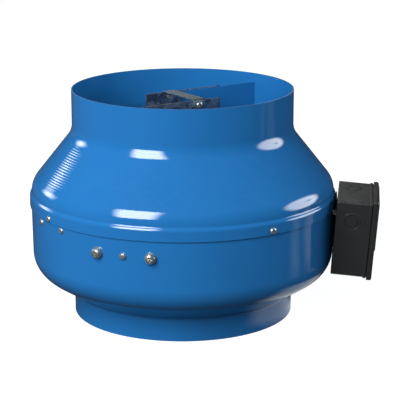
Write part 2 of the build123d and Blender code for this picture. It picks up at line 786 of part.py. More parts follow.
with BuildPart() as stator_core:
    with BuildSketch(Plane.XY.offset(stack_bottom)):
        Circle(stator_radius)
        Circle(bearing_tube_radius + hole_gap, mode=Mode.SUBTRACT)
        with PolarLocations((slot_inner + slot_outer) / 2, slot_count):
            Rectangle(slot_outer - slot_inner, slot_width, mode=Mode.SUBTRACT)
        with PolarLocations((slot_outer + stator_radius) / 2, slot_count):
            Rectangle(stator_radius - slot_outer + 2, slot_mouth, mode=Mode.SUBTRACT)
    extrude(amount=stack_height)
stator_core.part.label = "stator_core"
export_step(stator_core.part, "parts/stator_core.step")

with BuildPart() as stator_windings:
    for start in (stack_bottom - winding_gap - winding_overhang, stack_top + winding_gap):
        with BuildSketch(Plane.XY.offset(start)):
            Circle(slot_outer)
            Circle(slot_inner - 1, mode=Mode.SUBTRACT)
        extrude(amount=winding_overhang)
    fillet(stator_windings.edges().filter_by(GeomType.CIRCLE).group_by(Axis.Z)[0], winding_bend)
    fillet(stator_windings.edges().filter_by(GeomType.CIRCLE).group_by(Axis.Z)[-1], winding_bend)
    with BuildSketch(Plane.XY.offset(stack_bottom - winding_gap - 1)):
        with PolarLocations((slot_inner + slot_outer) / 2, slot_count):
            Rectangle(slot_outer - slot_inner - 2 * winding_gap, slot_width - 2 * winding_gap)
    extrude(amount=stack_height + 2 * winding_gap + 2)
stator_windings.part.label = "stator_windings"
export_step(stator_windings.part, "parts/stator_windings.step")


def ball_bearing(bottom):
    """A sealed bearing ring with its two shields set back."""
    shield_inner = shaft_radius + (bearing_radius - shaft_radius) / 4
    shield_outer = bearing_radius - (bearing_radius - shaft_radius) / 5
    with BuildPart() as bearing:
        with BuildSketch(Plane.XY.offset(bottom)):
            Circle(bearing_radius)
            Circle(shaft_radius + shaft_fit, mode=Mode.SUBTRACT)
        extrude(amount=bearing_width)
        for start in (bottom, bottom + bearing_width - bearing_shield_depth):
            with BuildSketch(Plane.XY.offset(start)):
                Circle(shield_outer)
                Circle(shield_inner, mode=Mode.SUBTRACT)
            extrude(amount=bearing_shield_depth, mode=Mode.SUBTRACT)
    return bearing.part


with BuildPart() as upper_bearing:
    add(ball_bearing(upper_bearing_bottom))
upper_bearing.part.label = "upper_bearing"
export_step(upper_bearing.part, "parts/upper_bearing.step")

with BuildPart() as lower_bearing:
    add(ball_bearing(lower_bearing_bottom))
lower_bearing.part.label = "lower_bearing"
export_step(lower_bearing.part, "parts/lower_bearing.step")

with BuildPart() as motor_screws:
    with Locations(carrier_plane.offset(bracket_floor_top)):
        with Locations(*motor_screw_places):
            add(pan_screw(motor_screw, bracket_sheet + strut_sheet + motor_screw_bite - 1, motor_screw_head,
                          motor_screw_head_height))
motor_screws.part.label = "motor_screws"
export_step(motor_screws.part, "parts/motor_screws.step")

# ================================================================ rotor and impeller
with BuildPart() as rotor_bell:
    with BuildSketch(Plane.XZ):
        with BuildLine():
            outer = FilletPolyline((shaft_radius + bearing_fit, rotor_bottom), (rotor_radius, rotor_bottom),
                                   (rotor_radius, rotor_top), radius=rotor_bend)
            inner = FilletPolyline((shaft_radius + bearing_fit, rotor_bottom + rotor_floor),
                                   (rotor_radius - rotor_wall, rotor_bottom + rotor_floor),
                                   (rotor_radius - rotor_wall, rotor_top), radius=rotor_bend - rotor_wall)
            Line(outer @ 0, inner @ 0)
            Line(outer @ 1, inner @ 1)
        make_face()
        with Locations((shaft_radius + bearing_fit, rotor_bottom)):
            Rectangle(rotor_hub_radius - shaft_radius - bearing_fit, rotor_hub_top - rotor_bottom,
                      align=(Align.MIN, Align.MIN))
        with Locations((rotor_radius - rotor_wall / 2, backplate_bottom)):
            Rectangle(rotor_ring_radius - rotor_radius + rotor_wall / 2, rotor_ring_height,
                      align=(Align.MIN, Align.MAX))
    revolve(axis=Axis.Z)
    with BuildSketch(Plane.XY.offset(rotor_bottom)):
        with PolarLocations(rotor_vent_pitch_radius, rotor_vent_count):
            Circle(rotor_vent_radius)
    extrude(amount=rotor_floor, mode=Mode.SUBTRACT)
    with BuildSketch(Plane.XY.offset(backplate_bottom)):
        with PolarLocations(ring_rivet_radius, ring_rivet_count):
            Circle(ring_rivet_shank + hole_gap)
    extrude(amount=-rotor_ring_height, mode=Mode.SUBTRACT)
rotor_bell.part.label = "rotor_bell"
export_step(rotor_bell.part, "parts/rotor_bell.step")

with BuildPart() as rotor_core:
    with BuildSketch(Plane.XY.offset(stack_bottom)):
        Circle(rotor_radius - rotor_wall - hole_gap)
        Circle(stator_radius + air_gap, mode=Mode.SUBTRACT)
    extrude(amount=stack_height)
rotor_core.part.label = "rotor_core"
export_step(rotor_core.part, "parts/rotor_core.step")

shaft_top = upper_bearing_top + shaft_fit + circlip_thickness + shaft_overrun
circlip_bottom = upper_bearing_top + seat_gap
with BuildPart() as motor_shaft:
    with BuildSketch(Plane.XY.offset(rotor_bottom)):
        Circle(shaft_radius)
    extrude(amount=shaft_top - rotor_bottom)
    with BuildSketch(Plane.XY.offset(circlip_bottom - hole_gap)):
        Circle(shaft_radius + 1)
        Circle(shaft_radius - circlip_groove, mode=Mode.SUBTRACT)
    extrude(amount=circlip_thickness + 2 * hole_gap, mode=Mode.SUBTRACT)
motor_shaft.part.label = "motor_shaft"
export_step(motor_shaft.part, "parts/motor_shaft.step")

circlip_inner = shaft_radius - circlip_groove + hole_gap
with BuildPart() as shaft_circlip:
    with BuildSketch(Plane.XY.offset(circlip_bottom)):
        Circle(circlip_inner + circlip_width)
        Circle(circlip_inner, mode=Mode.SUBTRACT)
        with BuildLine():
            reach = 2 * (circlip_inner + circlip_width)
            half_gap = math.radians(circlip_gap_angle / 2)
            Polyline((0, 0), (reach * math.cos(half_gap), reach * math.sin(half_gap)),
                     (reach * math.cos(half_gap), -reach * math.sin(half_gap)), close=True)
        make_face(mode=Mode.SUBTRACT)
    extrude(amount=circlip_thickness)
shaft_circlip.part.label = "shaft_circlip"
export_step(shaft_circlip.part, "parts/shaft_circlip.step")

with BuildPart() as impeller_backplate:
    with BuildSketch(Plane.XY.offset(backplate_bottom)):
        Circle(impeller_radius)
        Circle(rotor_radius + hole_gap, mode=Mode.SUBTRACT)
        with PolarLocations(ring_rivet_radius, ring_rivet_count):
            Circle(ring_rivet_shank + hole_gap, mode=Mode.SUBTRACT)
    extrude(amount=impeller_sheet)
impeller_backplate.part.label = "impeller_backplate"
export_step(impeller_backplate.part, "parts/impeller_backplate.step")

with BuildPart() as impeller_shroud:
    add(spun_sheet(shroud_line, [shroud_bend], shroud_sheet))
impeller_shroud.part.label = "impeller_shroud"
export_step(impeller_shroud.part, "parts/impeller_shroud.step")

passage_line, passage_bends = shifted_line(shroud_line, [shroud_bend], shroud_sheet + seat_gap)
blade_tip = impeller_radius - blade_tip_gap
blade_start = Vector(blade_inner, 0)
blade_end = Vector(blade_tip, 0).rotate(Axis.Z, -blade_sweep)
blade_chord = blade_end - blade_start
blade_normal = Vector(blade_chord.Y, -blade_chord.X).normalized()
blade_centre = ((blade_start + blade_end) / 2
                + blade_normal * math.sqrt(blade_curve**2 - (blade_chord.length / 2)**2))
blade_from = math.degrees(math.atan2(blade_start.Y - blade_centre.Y, blade_start.X - blade_centre.X))
blade_to = math.degrees(math.atan2(blade_end.Y - blade_centre.Y, blade_end.X - blade_centre.X))
blade_turn = (blade_to - blade_from + 180) % 360 - 180
blade_bottom = cone_throat_height + blade_throat_gap
with BuildPart() as blade_blank:
    with BuildSketch(Plane.XY.offset(blade_bottom)):
        with BuildLine():
            outer = CenterArc((blade_centre.X, blade_centre.Y), blade_curve + impeller_sheet / 2,
                              blade_from, blade_turn)
            inner = CenterArc((blade_centre.X, blade_centre.Y), blade_curve - impeller_sheet / 2,
                              blade_from, blade_turn)
            Line(outer @ 0, inner @ 0)
            Line(outer @ 1, inner @ 1)
        make_face()
    extrude(amount=backplate_bottom - blade_bottom)
    with BuildSketch(Plane.XZ):
        with BuildLine():
            floor = FilletPolyline(*passage_line, radius=passage_bends)
            Polyline(floor @ 1, (impeller_radius, backplate_bottom), (0, backplate_bottom), (0, shroud_bottom),
                     floor @ 0)
        make_face()
    revolve(axis=Axis.Z, mode=Mode.INTERSECT)

for number in range(blade_count):
    with BuildPart() as impeller_blade:
        add(blade_blank.part.rotate(Axis.Z, number * 360 / blade_count))
    impeller_blade.part.label = f"impeller_blade_{number + 1}"
    export_step(impeller_blade.part, f"parts/impeller_blade_{number + 1}.step")

with BuildPart() as impeller_rivets:
    with Locations(Plane.XY.offset(backplate_top)):
        with PolarLocations(ring_rivet_radius, ring_rivet_count):
            add(turned([(0, ring_rivet_head_height), (ring_rivet_head / 2, ring_rivet_head_height),
                        (ring_rivet_head, 0), (ring_rivet_shank, 0),
                        (ring_rivet_shank, -impeller_sheet - rotor_ring_height),
                        (ring_rivet_head, -impeller_sheet - rotor_ring_height),
                        (ring_rivet_head / 2, -impeller_sheet - rotor_ring_height - ring_rivet_head_height),
                        (0, -impeller_sheet - rotor_ring_height - ring_rivet_head_height)]))
impeller_rivets.part.label = "impeller_rivets"
export_step(impeller_rivets.part, "parts/impeller_rivets.step")

clip_rim = impeller_radius + seat_gap
clip_azimuth = 1.5 * 360 / blade_count - blade_sweep
with BuildPart() as balance_clips:
    for number in range(clip_count):
        place = radial_plane(clip_azimuth + number * 360 / clip_count, 0, 0)
        side = place.x_dir * (-clip_length / 2)
        with BuildSketch(Plane(origin=side, x_dir=place.z_dir, z_dir=-place.x_dir)):
            with Locations((clip_rim + clip_sheet, (backplate_top + backplate_bottom) / 2)):
                Rectangle(clip_reach + clip_sheet, impeller_sheet + 2 * (seat_gap + clip_sheet),
                          align=(Align.MAX, Align.CENTER))
            with Locations((clip_rim, (backplate_top + backplate_bottom) / 2)):
                Rectangle(2 * clip_reach, impeller_sheet + 2 * seat_gap, align=(Align.MAX, Align.CENTER),
                          mode=Mode.SUBTRACT)
        extrude(amount=-clip_length)
balance_clips.part.label = "balance_clips"
export_step(balance_clips.part, "parts/balance_clips.step")

# ================================================================ motor lead
lead_height = strut_web_bottom - lead_web_gap - lead_radius
lead_end_out = box_wall + lead_tail
lead_points = [carrier_plane.from_local_coords((lead_start, 0, lead_height)),
               carrier_plane.from_local_coords((lead_leave, 0, lead_height)),
               Vector(lead_swing_along, lead_swing_across, strut_web_bottom - lead_swing_drop),
               box_point(0, lead_entry, -lead_approach),
               box_point(0, lead_entry, lead_end_out)]
lead_runs = [(end - start).length for start, end in zip(lead_points, lead_points[1:])]
lead_turns = [(after - corner).get_angle(corner - before)
              for before, corner, after in zip(lead_points, lead_points[1:], lead_points[2:])]
lead_bends = [0.45 * min(run, next_run) / math.tan(math.radians(turn) / 2)
              for run, next_run, turn in zip(lead_runs, lead_runs[1:], lead_turns)]
print("lead bend radii", [round(bend, 1) for bend in lead_bends])
with BuildPart() as motor_lead:
    with BuildLine():
        route = FilletPolyline(*lead_points, radius=lead_bends)
    with BuildSketch(Plane(origin=route @ 0, z_dir=route % 0)):
        Circle(lead_radius)
    sweep()
motor_lead.part.label = "motor_lead"
export_step(motor_lead.part, "parts/motor_lead.step")
print("lead length", round(route.length, 1), "volume ratio",
      round(motor_lead.part.volume / (math.pi * lead_radius**2 * route.length), 4))

saddle_outer = lead_radius + lead_gap + saddle_sheet
with BuildPart() as lead_saddles:
    for place in (saddle_inner_place, saddle_outer_place):
        with BuildSketch(carrier_section.offset(place - saddle_width / 2)):
            with Locations((0, lead_height)):
                Circle(saddle_outer)
            with Locations((0, strut_web_bottom)):
                Rectangle(2 * (saddle_outer + saddle_foot), saddle_sheet, align=(Align.CENTER, Align.MAX))
            with Locations((0, lead_height)):
                Rectangle(2 * (lead_radius + lead_gap), strut_web_bottom - lead_height,
                          align=(Align.CENTER, Align.MIN), mode=Mode.SUBTRACT)
                Circle(lead_radius + lead_gap, mode=Mode.SUBTRACT)
            with Locations((0, strut_web_bottom)):
                Rectangle(4 * saddle_outer, saddle_outer, align=(Align.CENTER, Align.MIN), mode=Mode.SUBTRACT)
        extrude(amount=saddle_width)
    with BuildSketch(carrier_plane.offset(strut_web_bottom)):
        with Locations(*saddle_rivet_places):
            Circle(saddle_rivet_shank + hole_gap)
    extrude(amount=-2 * saddle_sheet, mode=Mode.SUBTRACT)
lead_saddles.part.label = "lead_saddles"
export_step(lead_saddles.part, "parts/lead_saddles.step")

with BuildPart() as saddle_rivets:
    with Locations(carrier_plane.offset(strut_web_top)):
        with Locations(*saddle_rivet_places):
            add(turned([(0, saddle_rivet_head_height), (saddle_rivet_head / 2, saddle_rivet_head_height),
                        (saddle_rivet_head, 0), (saddle_rivet_shank, 0),
                        (saddle_rivet_shank, -strut_sheet - saddle_sheet),
                        (saddle_rivet_head, -strut_sheet - saddle_sheet),
                        (saddle_rivet_head / 2, -strut_sheet - saddle_sheet - saddle_rivet_head_height),
                        (0, -strut_sheet - saddle_sheet - saddle_rivet_head_height)]))
saddle_rivets.part.label = "saddle_rivets"
export_step(saddle_rivets.part, "parts/saddle_rivets.step")

grommet_place = box_point(0, lead_entry, 0)
grommet_wall = band_radius(grommet_place.Z)
grommet_slack = grommet_flange * tilt_sin + grommet_flange**2 / 2 / grommet_wall
grommet_outside = (grommet_wall + seat_gap - grommet_place.X) / tilt_cos + grommet_flange * tilt_sin
grommet_inside = (grommet_wall - casing_sheet - seat_gap - grommet_place.X) / tilt_cos - grommet_slack
with BuildPart() as lead_grommet:
    with BuildSketch(box_plane.offset(grommet_inside - grommet_lip)):
        with Locations((0, lead_entry)):
            Circle(grommet_flange)
    extrude(amount=grommet_lip)
    with BuildSketch(box_plane.offset(grommet_inside)):
        with Locations((0, lead_entry)):
            Circle(grommet_neck)
    extrude(amount=grommet_outside + grommet_lip / 2 - grommet_inside)
    with BuildSketch(box_plane.offset(grommet_outside)):
        with Locations((0, lead_entry)):
            Circle(grommet_flange - 1)
    extrude(amount=grommet_lip / 2)
    with BuildSketch(box_plane.offset(grommet_inside - grommet_lip)):
        with Locations((0, lead_entry)):
            Circle(lead_radius + lead_gap)
    extrude(amount=grommet_outside - grommet_inside + 2 * grommet_lip, mode=Mode.SUBTRACT)
lead_grommet.part.label = "lead_grommet"
export_step(lead_grommet.part, "parts/lead_grommet.step")

# ================================================================ terminal box


def knockout(place, radius):
    """The groove and the raised ring of a knockout, as a pair of solids about place."""
    with BuildPart() as groove:
        with BuildSketch(place):
            Circle(radius)
            Circle(radius - knockout_groove, mode=Mode.SUBTRACT)
        extrude(amount=-knockout_groove_depth)
    with BuildPart() as ring:
        with BuildSketch(place):
            Circle(radius + knockout_ring_gap + knockout_ring)
            Circle(radius + knockout_ring_gap, mode=Mode.SUBTRACT)
        extrude(amount=knockout_ring_height)
    return groove.part, ring.part


side_knockout = knockout(Plane(origin=box_point(-box_width / 2, knockout_side_rise, knockout_side_out),
                               x_dir=box_plane.z_dir, z_dir=-box_plane.x_dir), knockout_side_radius)
top_knockout = knockout(Plane(origin=box_point(knockout_top_offset, box_rise / 2, knockout_top_out),
                              x_dir=box_plane.x_dir, z_dir=box_plane.y_dir), knockout_top_radius)
with BuildPart() as terminal_box_base:
    with BuildSketch(box_plane):
        RectangleRounded(box_width, box_rise, box_corner)
    extrude(amount=box_depth)
    fillet(terminal_box_base.faces().sort_by(box_axis)[0].edges(), box_back_bend)
    with BuildSketch(box_plane.offset(box_depth - box_lip_depth)):
        RectangleRounded(box_width + 2 * box_lip, box_rise + 2 * box_lip, box_corner + box_lip)
    extrude(amount=box_lip_depth)
    with BuildSketch(box_plane.offset(box_wall)):
        RectangleRounded(box_width - 2 * box_wall, box_rise - 2 * box_wall, box_corner - box_wall / 2)
    extrude(amount=box_depth, mode=Mode.SUBTRACT)
    with BuildSketch(box_plane.offset(box_wall)):
        with Locations(*post_places):
            Circle(post_radius)
    extrude(amount=box_depth - box_wall - post_drop)
    with BuildSketch(box_plane.offset(box_depth - post_drop)):
        with Locations(*post_places):
            Circle(pilot_radius)
    extrude(amount=-pilot_depth, mode=Mode.SUBTRACT)
    with BuildSketch(box_plane):
        with Locations((0, lead_entry)):
            Circle(lead_radius + lead_entry_gap)
        with Locations(*box_screw_places):
            Circle(box_screw + lead_gap)
    extrude(amount=box_wall, mode=Mode.SUBTRACT)
    add(side_knockout[0], mode=Mode.SUBTRACT)
    add(side_knockout[1])
    add(top_knockout[0], mode=Mode.SUBTRACT)
    add(top_knockout[1])
terminal_box_base.part.label = "terminal_box_base"
export_step(terminal_box_base.part, "parts/terminal_box_base.step")


spacer_length = (wall_gap(box_screw_upper, box_screw_across - spacer_radius) - spacer_radius * tilt_sin
                 - spacer_gap)
with BuildPart() as box_spacer:
    with BuildSketch(box_plane):
        with Locations(*spacer_places):
            Circle(spacer_radius)
            Circle(box_screw + lead_gap, mode=Mode.SUBTRACT)
    extrude(amount=-spacer_length)
box_spacer.part.label = "box_spacer"
export_step(box_spacer.part, "parts/box_spacer.step")

seal_half_width = box_screw_across - spacer_radius - seal_spacer_gap
seal_top = (skirt_top - box_height) / tilt_cos
seal_top_out = (skirt_radius + seal_skirt_cover - box_point(0, seal_top, 0).X) / tilt_cos
seal_step = skirt_bottom - seat_gap
with BuildPart() as box_seal:
    with BuildSketch(Plane(origin=box_plane.origin, x_dir=box_plane.z_dir, z_dir=-box_plane.x_dir)):
        with BuildLine():
            Polyline((-seat_gap, seal_bottom), (-seat_gap, seal_top_back), (seal_top_out, seal_top),
                     (-box_screw_grip, seal_top), (-box_screw_grip, seal_bottom), close=True)
        make_face()
    extrude(amount=seal_half_width, both=True)
    with BuildSketch(Plane.XZ):
        with BuildLine():
            Polyline((0, dish_top), (band_radius(dish_top) + seat_gap, dish_top),
                     (band_radius(seal_step) + seat_gap, seal_step), (skirt_radius + seat_gap, seal_step),
                     (skirt_radius + seat_gap, shoulder_height), (0, shoulder_height), close=True)
        make_face()
    revolve(axis=Axis.Z, mode=Mode.SUBTRACT)
    with BuildSketch(box_plane):
        with Locations((0, lead_entry)):
            Circle(grommet_flange - 1 + seal_grommet_gap)
    extrude(amount=-box_screw_grip, mode=Mode.SUBTRACT)
box_seal.part.label = "box_seal"
export_step(box_seal.part, "parts/box_seal.step")

with BuildPart() as box_screws:
    with Locations(box_plane.offset(box_wall)):
        with Locations(*box_screw_places):
            add(pan_screw(box_screw, box_wall + box_screw_grip, box_screw_head, box_screw_head_height,
                          recessed=False))
            add(cross_recess(box_screw_head_height + recess_depth / 2), mode=Mode.SUBTRACT)
box_screws.part.label = "box_screws"
export_step(box_screws.part, "parts/box_screws.step")

with BuildPart() as box_nuts:
    for across, up in box_screw_places:
        nut_face = -wall_gap(up, abs(across) + box_nut, casing_sheet) - box_nut * tilt_sin - box_nut_gap
        with BuildSketch(box_plane.offset(nut_face)):
            with Locations((across, up)):
                RegularPolygon(box_nut, 6)
                Circle(box_screw + hole_gap, mode=Mode.SUBTRACT)
        extrude(amount=-box_nut_height)
box_nuts.part.label = "box_nuts"
export_step(box_nuts.part, "parts/box_nuts.step")

# ================================================================ inside the box
pole_spots = [(number - (pole_count - 1) / 2) * pole_pitch for number in range(pole_count)]
block_bottom = box_wall + block_foot_height
block_top = block_bottom + block_height
with BuildPart() as terminal_block:
    with BuildSketch(box_plane.offset(block_bottom)):
        with Locations((0, block_rise)):
            Rectangle(block_length, block_width)
    extrude(amount=block_height)
    with BuildSketch(box_plane.offset(box_wall)):
        for side in (-1, 1):
            with Locations((side * (block_length / 2 - block_foot_inset - block_foot_length / 2), block_rise)):
                Rectangle(block_foot_length, block_width - 2 * block_foot_inset)
    extrude(amount=block_foot_height)
    with BuildSketch(box_plane.offset(block_top)):
        with Locations(*[(spot, block_rise) for spot in pole_spots]):
            Circle(pole_well)
    extrude(amount=-pole_well_depth, mode=Mode.SUBTRACT)
    with BuildSketch(Plane(origin=box_point(0, block_rise, block_bottom + pole_entry_height),
                           x_dir=box_plane.x_dir, z_dir=box_plane.y_dir)):
        with Locations(*[(spot, 0) for spot in pole_spots]):
            Circle(pole_entry)
    extrude(amount=block_width / 2, both=True, mode=Mode.SUBTRACT)
terminal_block.part.label = "terminal_block"
export_step(terminal_block.part, "parts/terminal_block.step")

with BuildPart() as terminal_screws:
    with BuildSketch(box_plane.offset(block_top - pole_well_depth)):
        with Locations(*[(spot, block_rise) for spot in pole_spots]):
            Circle(pole_screw)
    extrude(amount=pole_screw_height)
    with BuildSketch(box_plane.offset(block_top - pole_well_depth + pole_screw_height)):
        with Locations(*[(spot, block_rise) for spot in pole_spots]):
            Rectangle(3 * pole_screw, pole_slot_width)
    extrude(amount=-pole_slot_depth, mode=Mode.SUBTRACT)
terminal_screws.part.label = "terminal_screws"
export_step(terminal_screws.part, "parts/terminal_screws.step")

riser_limit = box_width / 2 - post_inset_side - post_radius - riser_post_gap - wire_radius
capacitor_start = capacitor_cap_height + capacitor_riser + capacitor_riser_step - riser_limit
capacitor_out = box_wall + capacitor_radius + capacitor_gap
capacitor_plane = Plane(origin=box_point(capacitor_start, capacitor_rise, capacitor_out),
                        x_dir=box_plane.y_dir, z_dir=box_plane.x_dir)
with BuildPart() as capacitor:
    with BuildSketch(capacitor_plane):
        Circle(capacitor_radius)
    extrude(amount=capacitor_length)
    fillet(capacitor.edges(), capacitor_cap_height)
    with BuildSketch(capacitor_plane):
        Circle(capacitor_cap)
    extrude(amount=-capacitor_cap_height)
capacitor.part.label = "capacitor"
export_step(capacitor.part, "parts/capacitor.step")


def wire(points):
    """A wire along straight runs joined by small bends."""
    with BuildPart() as strand:
        with BuildLine():
            path = FilletPolyline(*points, radius=wire_bend)
        with BuildSketch(Plane(origin=path @ 0, z_dir=path % 0)):
            Circle(wire_radius)
        sweep()
    return strand.part


entry_out = block_bottom + pole_entry_height
entry_low = block_rise - block_width / 2
entry_high = block_rise + block_width / 2
lead_cores = [(-1, 1, pole_spots[1]), (-1, -1, pole_spots[2]), (1, -1, pole_spots[3]), (1, 1, pole_spots[4])]
with BuildPart() as box_wires:
    for across, up, spot in lead_cores:
        core_across = across * lead_core_offset
        core_up = lead_entry + up * lead_core_offset
        level = lead_end_out + wire_riser + (wire_level_step if up < 0 else 0)
        add(wire([box_point(core_across, core_up, lead_end_out), box_point(core_across, core_up, level),
                  box_point(spot, lead_entry + wire_turn, level),
                  box_point(spot, entry_low - wire_lead_in, entry_out),
                  box_point(spot, entry_low + wire_bite, entry_out)]))
box_wires.part.label = "box_wires"
export_step(box_wires.part, "parts/box_wires.step")

capacitor_tail = capacitor_start - capacitor_cap_height
with BuildPart() as capacitor_wires:
    for number, (side, spot) in enumerate(zip((-1, 1), pole_spots)):
        tag_up = capacitor_rise + side * capacitor_tag_offset
        tag_out = capacitor_out + side * capacitor_tag_offset
        riser_across = capacitor_tail - capacitor_riser - number * capacitor_riser_step
        add(wire([box_point(capacitor_tail, tag_up, tag_out), box_point(riser_across, tag_up, tag_out),
                  box_point(riser_across, entry_high + wire_lead_in, tag_out),
                  box_point(spot, entry_high + wire_lead_in, entry_out),
                  box_point(spot, entry_high - wire_bite, entry_out)]))
capacitor_wires.part.label = "capacitor_wires"
export_step(capacitor_wires.part, "parts/capacitor_wires.step")

# ================================================================ lid
gasket_width_out = box_width - 2 * gasket_inset
gasket_rise_out = box_rise - 2 * gasket_inset
with BuildPart() as lid_gasket:
    with BuildSketch(box_plane.offset(box_rim)):
        RectangleRounded(gasket_width_out, gasket_rise_out, box_corner - gasket_inset)
        RectangleRounded(gasket_width_out - 2 * gasket_width, gasket_rise_out - 2 * gasket_width,
                         box_corner - box_wall / 2, mode=Mode.SUBTRACT)
    extrude(amount=gasket_height)
lid_gasket.part.label = "lid_gasket"
export_step(lid_gasket.part, "parts/lid_gasket.step")

lid_width = box_width + 2 * lid_overhang_side
lid_rise = box_rise + 2 * lid_overhang_end
cavity_width = box_width - 2 * box_wall
cavity_rise = box_rise - 2 * box_wall
rib_width = cavity_width - 2 * lid_rib_gap
rib_rise = cavity_rise - 2 * lid_rib_gap
panel_top = lid_rise / 2 - lid_panel_inset
with BuildPart() as terminal_box_lid:
    with BuildSketch(box_plane.offset(lid_bottom)):
        RectangleRounded(lid_width, lid_rise, lid_corner)
    extrude(amount=lid_depth)
    fillet(terminal_box_lid.faces().sort_by(box_axis)[-1].edges(), lid_edge)
    with BuildSketch(box_plane.offset(lid_face)):
        with Locations((0, lid_panel_start)):
            Rectangle(lid_width - 2 * (lid_edge + lid_panel_inset), panel_top - lid_edge - lid_panel_start,
                      align=(Align.CENTER, Align.MIN))
    extrude(amount=lid_panel_height, taper=35)
    with BuildSketch(box_plane.offset(lid_bottom)):
        RectangleRounded(rib_width, rib_rise, box_corner - box_wall / 2)
    extrude(amount=-gasket_height - lid_rib_depth)
    with BuildSketch(box_plane.offset(lid_face - lid_wall)):
        RectangleRounded(rib_width - 2 * lid_rib_width, rib_rise - 2 * lid_rib_width, box_corner - box_wall / 2)
    extrude(amount=-lid_depth - gasket_height - lid_rib_depth, mode=Mode.SUBTRACT)
    with BuildSketch(box_plane.offset(box_depth - post_drop + lid_boss_gap)):
        with Locations(*post_places):
            Circle(lid_boss)
        RectangleRounded(rib_width, rib_rise, box_corner - box_wall / 2, mode=Mode.INTERSECT)
    extrude(amount=lid_face - lid_wall - box_depth + post_drop - lid_boss_gap)
    with BuildSketch(box_plane.offset(box_depth)):
        with Locations(*post_places):
            Circle(lid_screw + lid_screw_gap)
    extrude(amount=2 * lid_depth, both=True, mode=Mode.SUBTRACT)
    with BuildSketch(box_plane.offset(lid_face - lid_screw_head_drop - lid_screw_head_height)):
        with Locations(*post_places):
            Circle(lid_screw_head + lid_screw_gap)
    extrude(amount=lid_depth, mode=Mode.SUBTRACT)
    with BuildSketch(box_plane.offset(box_depth - post_drop + lid_boss_gap)):
        with Locations(*post_places):
            Circle(post_radius + lid_rib_gap)
    extrude(amount=-box_depth, mode=Mode.SUBTRACT)
terminal_box_lid.part.label = "terminal_box_lid"
export_step(terminal_box_lid.part, "parts/terminal_box_lid.step")

with BuildPart() as lid_screws:
    with Locations(box_plane.offset(lid_face - lid_screw_head_drop - lid_screw_head_height)):
        with Locations(*post_places):
            add(pan_screw(lid_screw, lid_screw_length, lid_screw_head, lid_screw_head_height, recessed=False))
            add(cross_recess(lid_screw_head_height + recess_depth / 2), mode=Mode.SUBTRACT)
lid_screws.part.label = "lid_screws"
export_step(lid_screws.part, "parts/lid_screws.step")
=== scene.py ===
"""Looks of the inline duct fan: spun and painted casing, plated fasteners, moulded terminal box.

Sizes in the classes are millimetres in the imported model's own frame: the origin is on the fan's
axis in the plane of the inlet rim, +Z is the way the air leaves and +X passes through the terminal
box. Meshes are written in metres. Each sub-assembly is a class that holds its sizes and builds its
pieces; each finish is a small class that builds one material, whose own sizes are metres.
"""
from __future__ import annotations

import json
import logging
import math
from collections.abc import Callable, Sequence
from dataclasses import dataclass, field
from enum import Enum

import bmesh
import bpy
import numpy as np
from mathutils import Matrix, Vector

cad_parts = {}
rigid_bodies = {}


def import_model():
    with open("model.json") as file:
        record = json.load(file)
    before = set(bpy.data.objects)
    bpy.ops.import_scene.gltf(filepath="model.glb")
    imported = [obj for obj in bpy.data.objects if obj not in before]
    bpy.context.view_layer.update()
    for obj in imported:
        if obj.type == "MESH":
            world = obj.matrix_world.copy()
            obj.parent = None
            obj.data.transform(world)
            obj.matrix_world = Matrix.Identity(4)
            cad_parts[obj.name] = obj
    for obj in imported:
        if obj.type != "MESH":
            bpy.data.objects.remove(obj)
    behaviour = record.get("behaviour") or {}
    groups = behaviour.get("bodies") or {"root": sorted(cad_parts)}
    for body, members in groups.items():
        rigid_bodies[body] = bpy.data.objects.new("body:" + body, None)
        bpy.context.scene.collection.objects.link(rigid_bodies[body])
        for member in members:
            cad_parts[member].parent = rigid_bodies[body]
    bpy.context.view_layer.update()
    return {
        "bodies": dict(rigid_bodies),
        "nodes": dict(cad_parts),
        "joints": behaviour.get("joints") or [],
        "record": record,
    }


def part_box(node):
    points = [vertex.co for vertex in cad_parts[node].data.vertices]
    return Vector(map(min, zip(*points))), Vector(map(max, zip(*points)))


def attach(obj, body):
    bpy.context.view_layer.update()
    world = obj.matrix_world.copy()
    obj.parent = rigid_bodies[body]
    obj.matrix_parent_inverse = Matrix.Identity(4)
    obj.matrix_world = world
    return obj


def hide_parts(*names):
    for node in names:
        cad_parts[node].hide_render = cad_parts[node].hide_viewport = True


MM = 0.001
CREASE = math.radians(35)
CUT_CREASE = math.radians(50)
SAME_POINT = 1e-6
NO_LENGTH = 1e-7
CUT_STEPS = 9
CORNER_STEPS = 8
LEAST_CORNER = 0.12
FACE_WEIGHT = 90
LOG = logging.getLogger("duct_fan")

Colour = tuple[float, float, float]
Points = Sequence[tuple[float, float]]
Socket = bpy.types.NodeSocket
Material = bpy.types.Material
Mesh = bpy.types.Mesh
Piece = bpy.types.Object


class Body(Enum):
    """The bodies that the pieces made here move with."""

    CASING = "casing"
    LID = "box_lid"


class Carving(Enum):
    """What a mesh does to the solid that it is set against."""

    CUT_OUT = "DIFFERENCE"
    JOIN_ON = "UNION"


class LampFace(Enum):
    """Outline of a lamp's face."""

    RECTANGLE = "RECTANGLE"
    ELLIPSE = "ELLIPSE"


class Slot(Enum):
    """The record's material slots."""

    BLUE_PAINT = "blue_paint"
    GALVANISED = "galvanised_steel"
    ZINC = "zinc_fastener"
    YELLOW_ZINC = "yellow_zinc"
    CAST_ALUMINIUM = "cast_aluminium"
    MOTOR_PAINT = "motor_paint"
    BRIGHT_STEEL = "bright_steel"
    LAMINATIONS = "lamination_steel"
    COPPER = "copper_winding"
    LEAD_SHEATH = "lead_sheath"
    RUBBER = "black_rubber"
    BLACK_PLASTIC = "black_plastic"
    BLOCK_PLASTIC = "block_plastic"
    CAPACITOR_CASE = "capacitor_case"
    WIRE = "wire_insulation"


